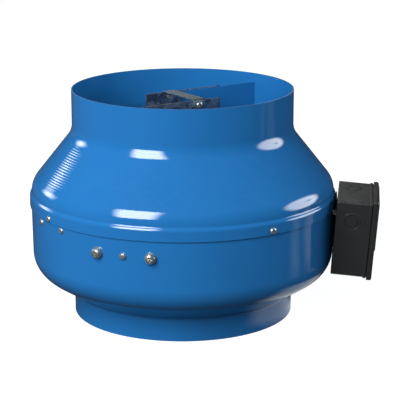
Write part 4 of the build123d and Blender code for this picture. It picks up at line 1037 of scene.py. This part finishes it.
@dataclass
class Carrier:
    """The line across the fan that bracket and vanes follow."""

    azimuth: float = 40.0

    def points(self, along: np.ndarray, aside: np.ndarray, height: np.ndarray,
               turn: float = 0.0) -> np.ndarray:
        """Points given along, aside of and above the line, in the fan's frame.

        Args:
            along: How far along the line each point is.
            aside: How far to the left of it.
            height: How high above the inlet rim.
            turn: Further turn of the line about the axis, in radians.

        Returns:
            The points, in the arrays' own shape by three.
        """
        angle = math.radians(self.azimuth) + turn
        return np.stack([along * math.cos(angle) - aside * math.sin(angle),
                         along * math.sin(angle) + aside * math.cos(angle), height], axis=-1)


@dataclass
class Casing:
    """The two spun shells, the inlet cone and the two guide vanes."""

    spigot_radius: float = 124.0
    sheet: float = 1.2
    cut_edge: float = 0.18
    around: int = 320
    bend_steps: int = 24
    cone_steps: int = 20
    inlet_height: float = 25.7
    dish_angle: float = 32.4
    dish_bends: tuple[float, float] = (4.0, 30.0)
    band_foot: float = 169.95
    joggle_step: float = 2.3
    joggle_start: float = 12.0
    joggle_height: float = 2.9
    shoulder_corner: float = 149.8
    cone_angle: float = 38.55
    outlet_bends: tuple[float, float, float, float] = (5.0, 3.2, 23.5, 25.0)
    throat: float = 75.0
    throat_start: float = 25.0
    cone_collar: float = 11.0
    inlet_cone_bends: tuple[float, float] = (4.0, 20.0)
    vane_start: float = 20.4
    vane_aside: float = 28.8
    vane_gap: float = 0.5
    vane_inset: float = 0.2
    vane_edge: float = 0.3
    vane_grid: tuple[int, int] = (60, 24)
    inner_wall: np.ndarray = field(init=False)

    def inlet_path(self) -> np.ndarray:
        """Outer face of the inlet shell, from its rim up to the band's free edge.

        Returns:
            Its (radius, height) points.
        """
        slope = math.tan(math.radians(self.dish_angle))
        foot = self.inlet_height + (self.band_foot - self.spigot_radius) * slope
        top = span("inlet_casing")[1]
        corners = [(self.spigot_radius, 0), (self.spigot_radius, self.inlet_height),
                   (self.band_foot, foot), (top.x, top.z)]
        return rounded_path(corners, self.dish_bends, self.bend_steps)

    def outlet_path(self) -> np.ndarray:
        """Outer face of the outlet shell, from the skirt's edge up to the outlet rim.

        Returns:
            Its (radius, height) points.
        """
        low, high = span("outlet_casing")
        skirt_top = low.z + self.joggle_start
        shoulder = high.x - self.joggle_step
        slope = math.tan(math.radians(self.cone_angle))
        cone_top = self.shoulder_corner + (shoulder - self.spigot_radius) / slope
        corners = [(high.x, low.z), (high.x, skirt_top), (shoulder, skirt_top + self.joggle_height),
                   (shoulder, self.shoulder_corner), (self.spigot_radius, cone_top),
                   (self.spigot_radius, high.z)]
        return rounded_path(corners, self.outlet_bends, self.bend_steps)

    def inlet_cone_path(self) -> np.ndarray:
        """Outer face of the inlet cone, from its rim inside the spigot up to the throat.

        Returns:
            Its (radius, height) points.
        """
        low, high = span("inlet_cone")
        throat = self.throat + self.sheet
        corners = [(high.x, low.z), (high.x, low.z + self.cone_collar),
                   (throat, low.z + self.throat_start), (throat, high.z)]
        return rounded_path(corners, self.inlet_cone_bends, self.cone_steps)

    def shell(self, node: str, path: np.ndarray, material: Material) -> None:
        """Turns a sheet's section into a shell, with the length along the section as its UV.

        Args:
            node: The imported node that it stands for.
            path: Its outer face.
            material: Its finish.
        """
        section = sheet_section(path, self.sheet, self.cut_edge)
        run = np.concatenate([[0], np.cumsum(np.linalg.norm(np.diff(section, axis=0), axis=1))])
        mesh = grid_mesh(node, lathe_grid(section, self.around), True, True, run)
        shade_evenly(add_piece(node, "shell", mesh, material))

    def vane(self, node: str, turn: float, material: Material) -> None:
        """One flat vane, from the bracket to the casing's wall.

        Its middle surface is a grid of height by reach: at each height it ends where the plane of
        the vane meets the inner wall, which is sqrt(wall radius^2 - plane distance^2) along it.

        Args:
            node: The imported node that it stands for.
            turn: Its turn about the axis from the carrier's line, in radians.
            material: Its finish.
        """
        low, high = span(node)
        rows, columns = self.vane_grid
        heights = np.linspace(low.z + self.vane_inset, high.z - self.vane_inset, rows)
        wall = np.interp(heights, self.inner_wall[:, 1], self.inner_wall[:, 0]) - self.vane_gap
        reach = np.sqrt(wall**2 - self.vane_aside**2)
        share = np.linspace(0, 1, columns)[None]
        along = self.vane_start + share * (reach[:, None] - self.vane_start)
        grid = Carrier().points(along, np.full_like(along, self.vane_aside),
                                np.broadcast_to(heights[:, None], along.shape), turn)
        mesh = grid_mesh(node, grid, False, False)
        piece = add_piece(node, "sheet", mesh, material)
        thicken(piece, self.sheet, self.vane_edge)

    def build(self, palette: Palette) -> None:
        """Builds the shells, the inlet cone and the vanes.

        Args:
            palette: The fan's materials.
        """
        outlet = self.outlet_path()
        self.inner_wall = moved_path(outlet, self.sheet)
        self.shell("inlet_casing", self.inlet_path(), palette.spun_paint)
        self.shell("outlet_casing", outlet, palette.spun_paint)
        self.shell("inlet_cone", self.inlet_cone_path(), palette.spun_paint)
        for index in (0, 1):
            self.vane(f"guide_vane_{index + 1}", index * math.pi, palette[Slot.BLUE_PAINT])


@dataclass
class Bracket:
    """The galvanised motor bracket and the strap that ties its walls."""

    sheet: float = 1.5
    half_width: float = 31.0
    length: float = 58.8
    arm: float = 42.0
    step: float = 0.02
    bend: float = 2.0
    strap_sheet: float = 1.2
    strap_width: float = 15.5
    strap_offset: float = 1.2
    strap_gap: float = 0.1
    strap_bend: float = 2.4
    edge: float = 0.3
    rows: int = 15
    bend_steps: int = 8

    def channel(self, node: str, path: np.ndarray, start: float | np.ndarray,
                end: float | np.ndarray, sheet: float, material: Material) -> None:
        """A bent sheet carried along the carrier's line.

        Args:
            node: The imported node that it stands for.
            path: Middle of the sheet, as (aside, height) points.
            start: Where it starts along the line, for all points or for each.
            end: Where it ends, for all points or for each.
            sheet: Its thickness.
            material: Its finish.
        """
        share = np.linspace(0, 1, self.rows)[:, None]
        along = start + share * (end - start) + np.zeros(len(path))
        aside, height = (np.broadcast_to(path[:, axis], along.shape) for axis in (0, 1))
        mesh = grid_mesh(node, Carrier().points(along, aside, height), False, False)
        thicken(add_piece(node, "sheet", mesh, material), sheet, self.edge)

    def bent(self, side: float, foot: float, floor: float, bend: float) -> np.ndarray:
        """Middle of a sheet with two walls: down or up one, across and back along the other.

        Args:
            side: Distance of each wall from the line.
            foot: Height at which the walls end.
            floor: Height of the part across.
            bend: Radius between them.

        Returns:
            Its (aside, height) points.
        """
        return rounded_path([(-side, foot), (-side, floor), (side, floor), (side, foot)],
                            [bend, bend], self.bend_steps)

    def build(self, palette: Palette) -> None:
        """Builds the bracket, whose walls have arms above the vanes' foot, and the strap.

        Args:
            palette: The fan's materials.
        """
        low, high = span("motor_bracket")
        side, floor = self.half_width - self.sheet / 2, low.z + self.sheet / 2
        arm_foot = span("guide_vane_1")[0].z
        walls = self.bent(side, arm_foot, floor, self.bend - self.sheet / 2)
        near = np.array([(-side, high.z), (-side, arm_foot + self.step)])
        walls = np.concatenate([near, walls, near[::-1] * (-1, 1)])
        high_up = walls[:, 1] > arm_foot + self.step / 2
        half, far = self.length / 2, self.length / 2 + self.arm
        start = np.where(high_up & (walls[:, 0] < 0), -far, -half)
        end = np.where(high_up & (walls[:, 0] > 0), far, half)
        self.channel("motor_bracket", walls, start, end, self.sheet, palette[Slot.GALVANISED])
        low, high = span("tie_strap")
        strap = self.bent(self.half_width + self.strap_gap + self.strap_sheet / 2, low.z,
                          high.z - self.strap_sheet / 2, self.strap_bend - self.strap_sheet / 2)
        self.channel("tie_strap", strap, self.strap_offset - self.strap_width / 2,
                     self.strap_offset + self.strap_width / 2, self.strap_sheet,
                     palette[Slot.GALVANISED])


@dataclass
class Knockout:
    """A round cable entry that is still closed: a groove round its plug, and a raised ring."""

    middle: tuple[float, float, float]
    radius: float
    facing: tuple[int, int, int]
    groove: float = 0.7
    groove_depth: float = 0.8
    ring_gap: float = 1.3
    ring: float = 0.8
    ring_height: float = 0.4
    ring_root: float = 0.5
    ring_soft: float = 0.3
    sharp: float = 0.01
    clear: float = 1.0
    around: int = 64
    bend_steps: int = 5

    def hoop(self, inner: float, outer: float, low: float, high: float, soft: float) -> Mesh:
        """A ring of rectangular section about the knockout's axis, in the box's frame.

        Args:
            inner: Its inner radius.
            outer: Its outer radius.
            low: Where it starts along the axis, from the wall's face outwards.
            high: Where it ends.
            soft: Radius of its upper corners.

        Returns:
            The closed mesh.
        """
        section = rounded_path([(inner, low), (outer, low), (outer, high), (inner, high),
                                (inner, low)], [self.sharp, soft, soft], self.bend_steps)[:-1]
        place = Vector(self.facing).to_track_quat("Z", "Y").to_matrix().to_4x4()
        place.translation = Vector(self.middle)
        return placed(grid_mesh("hoop", lathe_grid(section, self.around), True, True), place)

    def cutter(self) -> Mesh:
        """What the groove takes out of the wall."""
        return self.hoop(self.radius - self.groove, self.radius, -self.groove_depth,
                         self.clear, self.sharp)

    def rim(self) -> Mesh:
        """The raised ring."""
        inner = self.radius + self.ring_gap
        return self.hoop(inner, inner + self.ring, -self.ring_root, self.ring_height,
                         self.ring_soft)


@dataclass
class TerminalBox:
    """The moulded terminal box: base and lid, in the box's own tilted frame.

    Its points are (across, up, out): out is the way the lid lifts, from the middle of the back.
    """

    width: float = 92.6
    rise: float = 84.8
    depth: float = 38.6
    wall: float = 2.2
    corner: float = 3.0
    floor_ring: float = 6.0
    back_edge: float = 1.2
    lip: float = 1.2
    lip_depth: float = 3.0
    lip_run: float = 4.0
    base_bends: tuple[float, ...] = (0.25, 0.35, 0.35, 0.3, 0.8)
    side_entry: tuple[float, float, float] = (20.0, 17.7, 7.4)
    top_entry: tuple[float, float, float] = (14.0, 18.0, 8.0)
    gasket: float = 1.0
    lid_ends: float = 2.9
    lid_sides: float = 0.7
    lid_depth: float = 5.8
    lid_edge: float = 2.4
    lid_corner: float = 3.5
    lid_bends: tuple[float, ...] = (0.4, 0.2, 0.3, 0.3, 0.8)
    face_ring: float = 3.0
    rim: float = 2.9
    rib: float = 1.2
    rib_depth: float = 2.6
    lid_floor_ring: float = 9.0
    panel_start: float = -11.8
    panel_inset: float = 3.8
    panel_height: float = 0.9
    panel_corner: float = 1.5
    panel_slope: float = 0.55
    panel_shoulder: float = 0.9
    panel_crown: float = 0.001
    panel_root: float = 0.5
    post: float = 4.2
    post_side: float = 8.5
    post_end: float = 8.4
    post_short: float = 0.5
    pilot: float = 1.6
    pilot_depth: float = 22.5
    pilot_clear: float = 1.0
    boss: float = 4.4
    boss_reach: float = 0.2
    well: float = 3.6
    well_depth: float = 2.25
    well_clear: float = 3.0
    stick_bends: tuple[float, float] = (0.05, 0.3)
    stick_around: int = 40
    bend_steps: int = 5
    back_steps: int = 6
    lid_steps: int = 7
    place: Matrix = field(init=False)

    def find_place(self, joints: Sequence[dict]) -> None:
        """Finds the box's frame from the way its lid lifts and from the middle of its gasket.

        Args:
            joints: The record's joints.
        """
        slide = next(joint for joint in joints if joint["name"] == "lid_slide")
        out = Vector(slide["axis"]).normalized()
        low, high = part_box("lid_gasket")
        across = Vector((0, 1, 0))
        self.place = Matrix((across, out.cross(across), out)).transposed().to_4x4()
        self.place.translation = (low + high) / 2 / MM - out * (self.depth + self.gasket / 2)

    @staticmethod
    def tray(half_width: float, half_rise: float, corner: float, profile: np.ndarray) -> Mesh:
        """A closed shell of the box, in its own frame.

        Args:
            half_width: Half of it across.
            half_rise: Half of it upwards.
            corner: Radius of its corners.
            profile: Its section's (inset, out) points.

        Returns:
            The closed mesh.
        """
        mesh = grid_mesh("tray", tray_grid(half_width, half_rise, corner, profile), False, True)
        tidy_mesh(mesh, capped=True)
        return mesh

    def sticks(self, radius: float, low: float, high: float) -> list[Mesh]:
        """Round bars along out at the four posts, their upper edges a little rounded.

        Args:
            radius: Their radius.
            low: Where they start.
            high: Where they end.

        Returns:
            Four closed meshes.
        """
        outline = rounded_path([(0, low), (radius, low), (radius, high), (0, high)],
                               self.stick_bends, self.bend_steps)
        side, end = self.width / 2 - self.post_side, self.rise / 2 - self.post_end
        return [placed(grid_mesh("stick", lathe_grid(outline, self.stick_around), True, False),
                       Matrix.Translation((across, up, 0)))
                for across in (-side, side) for up in (-end, end)]

    def base(self) -> Mesh:
        """The base: a tray with a lip, four posts and two knockouts.

        Returns:
            Its mesh.
        """
        inside = self.wall + self.floor_ring
        back = rounded_path([(inside, 0), (0, 0), (0, self.depth)], [self.back_edge],
                            self.back_steps)[1:-1]
        lip_foot = self.depth - self.lip_depth
        lip = rounded_path([(0, lip_foot - self.lip_run), (0, lip_foot), (-self.lip, lip_foot),
                            (-self.lip, self.depth), (self.wall, self.depth),
                            (self.wall, self.wall), (inside, self.wall)],
                           self.base_bends, self.bend_steps)[:-1]
        shell = self.tray(self.width / 2, self.rise / 2, self.corner, np.concatenate([back, lip]))
        up, out, radius = self.side_entry
        side = Knockout((-self.width / 2, up, out), radius, (-1, 0, 0))
        across, out, radius = self.top_entry
        top = Knockout((across, self.rise / 2, out), radius, (0, 1, 0))
        posts = self.sticks(self.post, self.wall / 2, self.depth - self.post_short)
        shell = carved(shell, [*posts, side.rim(), top.rim()], Carving.JOIN_ON)
        pilots = self.sticks(self.pilot, self.depth - self.pilot_depth,
                             self.depth + self.pilot_clear)
        return carved(shell, [*pilots, side.cutter(), top.cutter()], Carving.CUT_OUT)

    def lid(self) -> Mesh:
        """The lid: a rounded tray with a raised panel and a well for each screw.

        Returns:
            Its mesh.
        """
        bottom = self.depth + self.gasket
        face = bottom + self.lid_depth
        floor = face - self.wall
        foot, inner = self.depth - self.rib_depth, self.rim + self.rib
        outline = rounded_path(
            [(self.lid_edge + self.face_ring, face), (0, face), (0, bottom), (self.rim, bottom),
             (self.rim, foot), (inner, foot), (inner, floor), (self.lid_floor_ring, floor)],
            [self.lid_edge, *self.lid_bends], self.lid_steps)[1:-1]
        half_width, half_rise = self.width / 2 + self.lid_sides, self.rise / 2 + self.lid_ends
        shell = self.tray(half_width, half_rise, self.lid_corner, outline)
        end = half_rise - self.panel_inset
        top = face + self.panel_height
        profile = np.array([(0, face - self.panel_root), (0, face), (self.panel_slope, top),
                            (self.panel_shoulder, top + self.panel_crown)])
        panel = self.tray(half_width - self.panel_inset, (end - self.panel_start) / 2,
                          self.panel_corner, profile)
        placed(panel, Matrix.Translation((0, (end + self.panel_start) / 2, 0)))
        bosses = self.sticks(self.boss, self.depth - self.boss_reach, face - self.wall / 2)
        shell = carved(shell, [panel, *bosses], Carving.JOIN_ON)
        wells = self.sticks(self.well, face - self.well_depth, face + self.well_clear)
        return carved(shell, wells, Carving.CUT_OUT)

    def build(self, palette: Palette) -> None:
        """Builds the base and the lid and puts them in their place.

        Args:
            palette: The fan's materials.
        """
        slot = Slot.BLACK_PLASTIC
        for node, mesh, body in (("terminal_box_base", self.base(), Body.CASING),
                                 ("terminal_box_lid", self.lid(), Body.LID)):
            shade_evenly(add_piece(node, "shell", placed(mesh, self.place), palette[slot],
                                   body))


@dataclass(frozen=True)
class Lamp:
    """A soft light that faces the fan. Its angles are degrees, as seen from the fan.

    Attributes:
        name: The light's name.
        azimuth: Its direction from +X.
        elevation: Its direction above the floor.
        width: The angle that it fills across.
        height: The angle that it fills upwards.
        radiance: How bright its face is.
        roll: Its turn about its own axis.
        face: Outline of its face.
        gleams: Whether gloss shows it.
        feather: Share of its width over which it fades out at each side.
        fade: Share of its height over which it fades out at its top and foot.
        stand: Middle of the dim spot on a round face, as shares of its width and height.
        stand_edge: Where the spot starts to fade and where it ends, from its middle.
        stand_glow: How bright the spot is.
    """

    name: str
    azimuth: float
    elevation: float
    width: float
    height: float
    radiance: float
    roll: float = 0.0
    face: LampFace = LampFace.RECTANGLE
    gleams: bool = True
    feather: float = 0.0
    fade: float = 0.001
    stand: tuple[float, float, float] = (0.66, 0.5, 0.0)
    stand_edge: tuple[float, float] = (0.02, 0.1)
    stand_glow: float = 0.4

    def glow(self, graph: Graph) -> Socket:
        """How bright each point of the face is, from 0 to 1.

        Args:
            graph: The light's graph.

        Returns:
            The brightness.
        """
        point = graph.add("NewGeometry").outputs["Parametric"]
        if self.face is LampFace.ELLIPSE:
            reach = graph.vector("DISTANCE", "Value", point, (0.5, 0.5, 0.0))
            spot = graph.vector("DISTANCE", "Value", point, self.stand)
            return graph.times(graph.ramp(reach, 0.5 * (1 - self.feather), 0.5, 1.0, 0.0),
                               graph.ramp(spot, *self.stand_edge, self.stand_glow, 1.0))
        across, up, _ = graph.parts(point)
        return graph.times(graph.band(across, 0.0, 1.0, self.feather, self.feather),
                           graph.band(up, 0.0, 1.0, self.fade, self.fade))

    def build(self, centre: Vector, distance: float) -> None:
        """Puts the lamp in the scene.

        Args:
            centre: The point that it faces.
            distance: How far off it is, in metres.
        """
        data = bpy.data.lights.new(self.name, "AREA")
        data.shape = self.face.value
        data.size = 2 * distance * math.tan(math.radians(self.width / 2))
        data.size_y = 2 * distance * math.tan(math.radians(self.height / 2))
        area = data.size * data.size_y * (math.pi / 4 if self.face is LampFace.ELLIPSE else 1)
        data.energy = self.radiance * area * math.pi
        if self.feather:
            graph = Graph(emptied_tree(data))
            light = graph.add("Emission", {"Strength": self.glow(graph)})
            graph.add("OutputLight", {0: light.outputs[0]})
        lamp = bpy.data.objects.new(self.name, data)
        bpy.context.scene.collection.objects.link(lamp)
        level, turn = math.radians(self.elevation), math.radians(self.azimuth)
        away = Vector((math.cos(turn) * math.cos(level), math.sin(turn) * math.cos(level),
                       math.sin(level)))
        lamp.location = centre + away * distance
        facing = away.to_track_quat("Z", "Y").to_matrix().to_4x4()
        roll = Matrix.Rotation(math.radians(self.roll), 4, "Z")
        lamp.rotation_euler = (facing @ roll).to_euler()
        lamp.visible_camera = False
        lamp.visible_glossy = self.gleams


@dataclass
class Studio:
    """The pale floor, the soft lights and the camera, in metres and degrees."""

    distance: float = 2.2
    centre: tuple[float, float, float] = (0.0, 0.0, 0.14)
    camera_place: tuple[float, float, float] = (0.1992, -1.6813, 0.57305)
    camera_turn: tuple[float, float, float] = (75.182, 0.0, 6.1)
    lens: float = 138.78
    sensor: float = 36.0
    floor_half: float = 30.0
    sky: Colour = (0.85, 0.92, 1.0)
    sky_gloss: float = 0.02
    sky_fill: float = 0.12
    floor_tone: Colour = (0.3, 0.3, 0.3)
    floor_lift: float = 0.93
    floor_bounce: Colour = (0.12, 0.12, 0.12)
    # Colour, strips and patch of the painted lamp reflections that the floor shows to glossy rays.
    painted_reflection_colour: Colour = (0.92, 0.96, 1.0)
    strip_origin: tuple[float, float] = (0.3, 0.14)
    strips: tuple[tuple[float, float], ...] = ((3.0, 10.5), (10.5, 22.5))
    strip_edge: float = 4.0
    strip_glow: float = 0.42
    patch: tuple[float, float] = (4.0, 23.0)
    patch_glow: float = 0.7
    white: Colour = (1.0, 1.0, 1.0)
    lamps: tuple[Lamp, ...] = (
        Lamp("key_light", -120.5, 33.0, 34.0, 37.0, 10.4, 8.0, feather=0.2),
        Lamp("right_light", 16.0, 12.0, 43.0, 36.0, 4.9, face=LampFace.ELLIPSE, feather=0.3),
        Lamp("left_light", 155.4, 14.2, 23.0, 17.0, 7.5, feather=0.45, fade=0.4),
        Lamp("low_left_fill", -172.0, 14.0, 50.0, 26.0, 1.2, gleams=False),
        Lamp("front_fill", -88.0, 38.0, 46.0, 22.0, 2.8, gleams=False),
        Lamp("backdrop", 97.0, 14.0, 26.0, 24.0, 0.35))

    def world(self) -> None:
        """White where the camera looks past the floor, and a dim fill for the fan."""
        world = bpy.data.worlds.new("studio_world")
        bpy.context.scene.world = world
        graph = Graph(emptied_tree(world))
        seen, gloss, fill = (graph.add("Background", {"Color": colour, "Strength": strength})
                             .outputs[0] for colour, strength in
                             ((self.white, 1.0), (self.sky, self.sky_gloss),
                              (self.sky, self.sky_fill)))
        graph.add("OutputWorld", {0: graph.by_ray(seen, gloss, fill)})

    def floor(self) -> None:
        """A wide pale floor, lit evenly where the camera sees it and dim where gloss does,
        but for the painted lamp reflections that glow in it.
        """
        half = self.floor_half / MM
        corners = np.array([[(-half, -half, 0), (-half, half, 0)],
                            [(half, -half, 0), (half, half, 0)]], float)
        mesh = grid_mesh("studio_floor", corners, False, False)
        material = bpy.data.materials.new("pale_floor")
        graph = Graph(emptied_tree(material))
        card = graph.add("BsdfDiffuse", {"Color": self.floor_tone})
        lift = graph.add("Emission", {"Color": self.white, "Strength": self.floor_lift})
        seen = graph.add("AddShader", {0: card.outputs[0], 1: lift.outputs[0]})
        bounce = graph.add("BsdfDiffuse", {"Color": self.floor_bounce})
        # Emission that only glossy rays see: painted reflections of the lamps in the floor.
        dim = graph.add("Emission", {"Color": self.painted_reflection_colour, "Strength": self.painted_lamp_reflections(graph)})
        graph.add("OutputMaterial", {0: graph.by_ray(seen.outputs[0], dim.outputs[0],
                                                     bounce.outputs[0])})
        mesh.materials.append(material)
        floor = bpy.data.objects.new("studio_floor", mesh)
        bpy.context.scene.collection.objects.link(floor)

    def painted_lamp_reflections(self, graph: Graph) -> Socket:
        """How bright the floor glows to glossy rays: painted reflections of the lamps, as in a
        glossy table.

        It is painted pale towards the left light and bright in two strips that fan out to the right
        lamp. The strips are spans of the angle atan2(y + front, x + left), in degrees, about a
        point that lies left metres to the left of the axis and front metres before it. They leave
        out the floor round the foot, a painted shadow of the fan there, where only a small painted
        patch under the right side is bright.

        Args:
            graph: The floor's graph.

        Returns:
            The brightness.
        """
        point = graph.add("NewGeometry").outputs["Position"]
        x, y, _ = graph.parts(point)
        left, front = self.strip_origin
        turn = graph.math("ARCTAN2", graph.math("ADD", y, front), graph.math("ADD", x, left))
        turn = graph.times(turn, 180 / math.pi)
        radius = graph.vector("LENGTH", "Value", point)
        patch, *strips = (graph.band(turn, low, high, self.strip_edge, self.strip_edge)
                          for low, high in (self.patch, *self.strips))
        far = graph.times(graph.math("ADD", *strips),
                          graph.ramp(radius, 0.3, 0.4, 0.0, self.strip_glow),
                          graph.ramp(radius, 0.6, 0.8, 1.0, 0.35))
        near = graph.times(patch, graph.ramp(radius, 0.2, 0.22, self.patch_glow, 0.0),
                           graph.ramp(x, 0.1, 0.13))
        # Painted reflection of the left light, paler towards it.
        pale = graph.ramp(x, -0.9, 0.2, 0.08, 0.03)
        return graph.math("ADD", pale, graph.math("ADD", far, near))

    def camera(self) -> None:
        """The camera, without depth of field."""
        data = bpy.data.cameras.new("camera")
        data.sensor_width = self.sensor
        data.lens = self.lens
        camera = bpy.data.objects.new("camera", data)
        bpy.context.scene.collection.objects.link(camera)
        camera.location = self.camera_place
        camera.rotation_euler = tuple(math.radians(angle) for angle in self.camera_turn)
        bpy.context.scene.camera = camera

    def build(self) -> None:
        """Sets the studio up."""
        bpy.context.scene.view_settings.view_transform = "Standard"
        self.world()
        self.floor()
        for lamp in self.lamps:
            lamp.build(Vector(self.centre), self.distance)
        self.camera()


def main() -> None:
    """Loads the frame and builds the fan's looks and the studio around it."""
    logging.basicConfig(level=logging.INFO, format="%(name)s: %(message)s")
    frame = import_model()
    palette = Palette()
    palette.dress_nodes(frame["nodes"])
    Casing().build(palette)
    Bracket().build(palette)
    box = TerminalBox()
    box.find_place(frame["record"]["behaviour"]["joints"])
    box.build(palette)
    Studio().build()


if __name__ == "__main__":
    main()
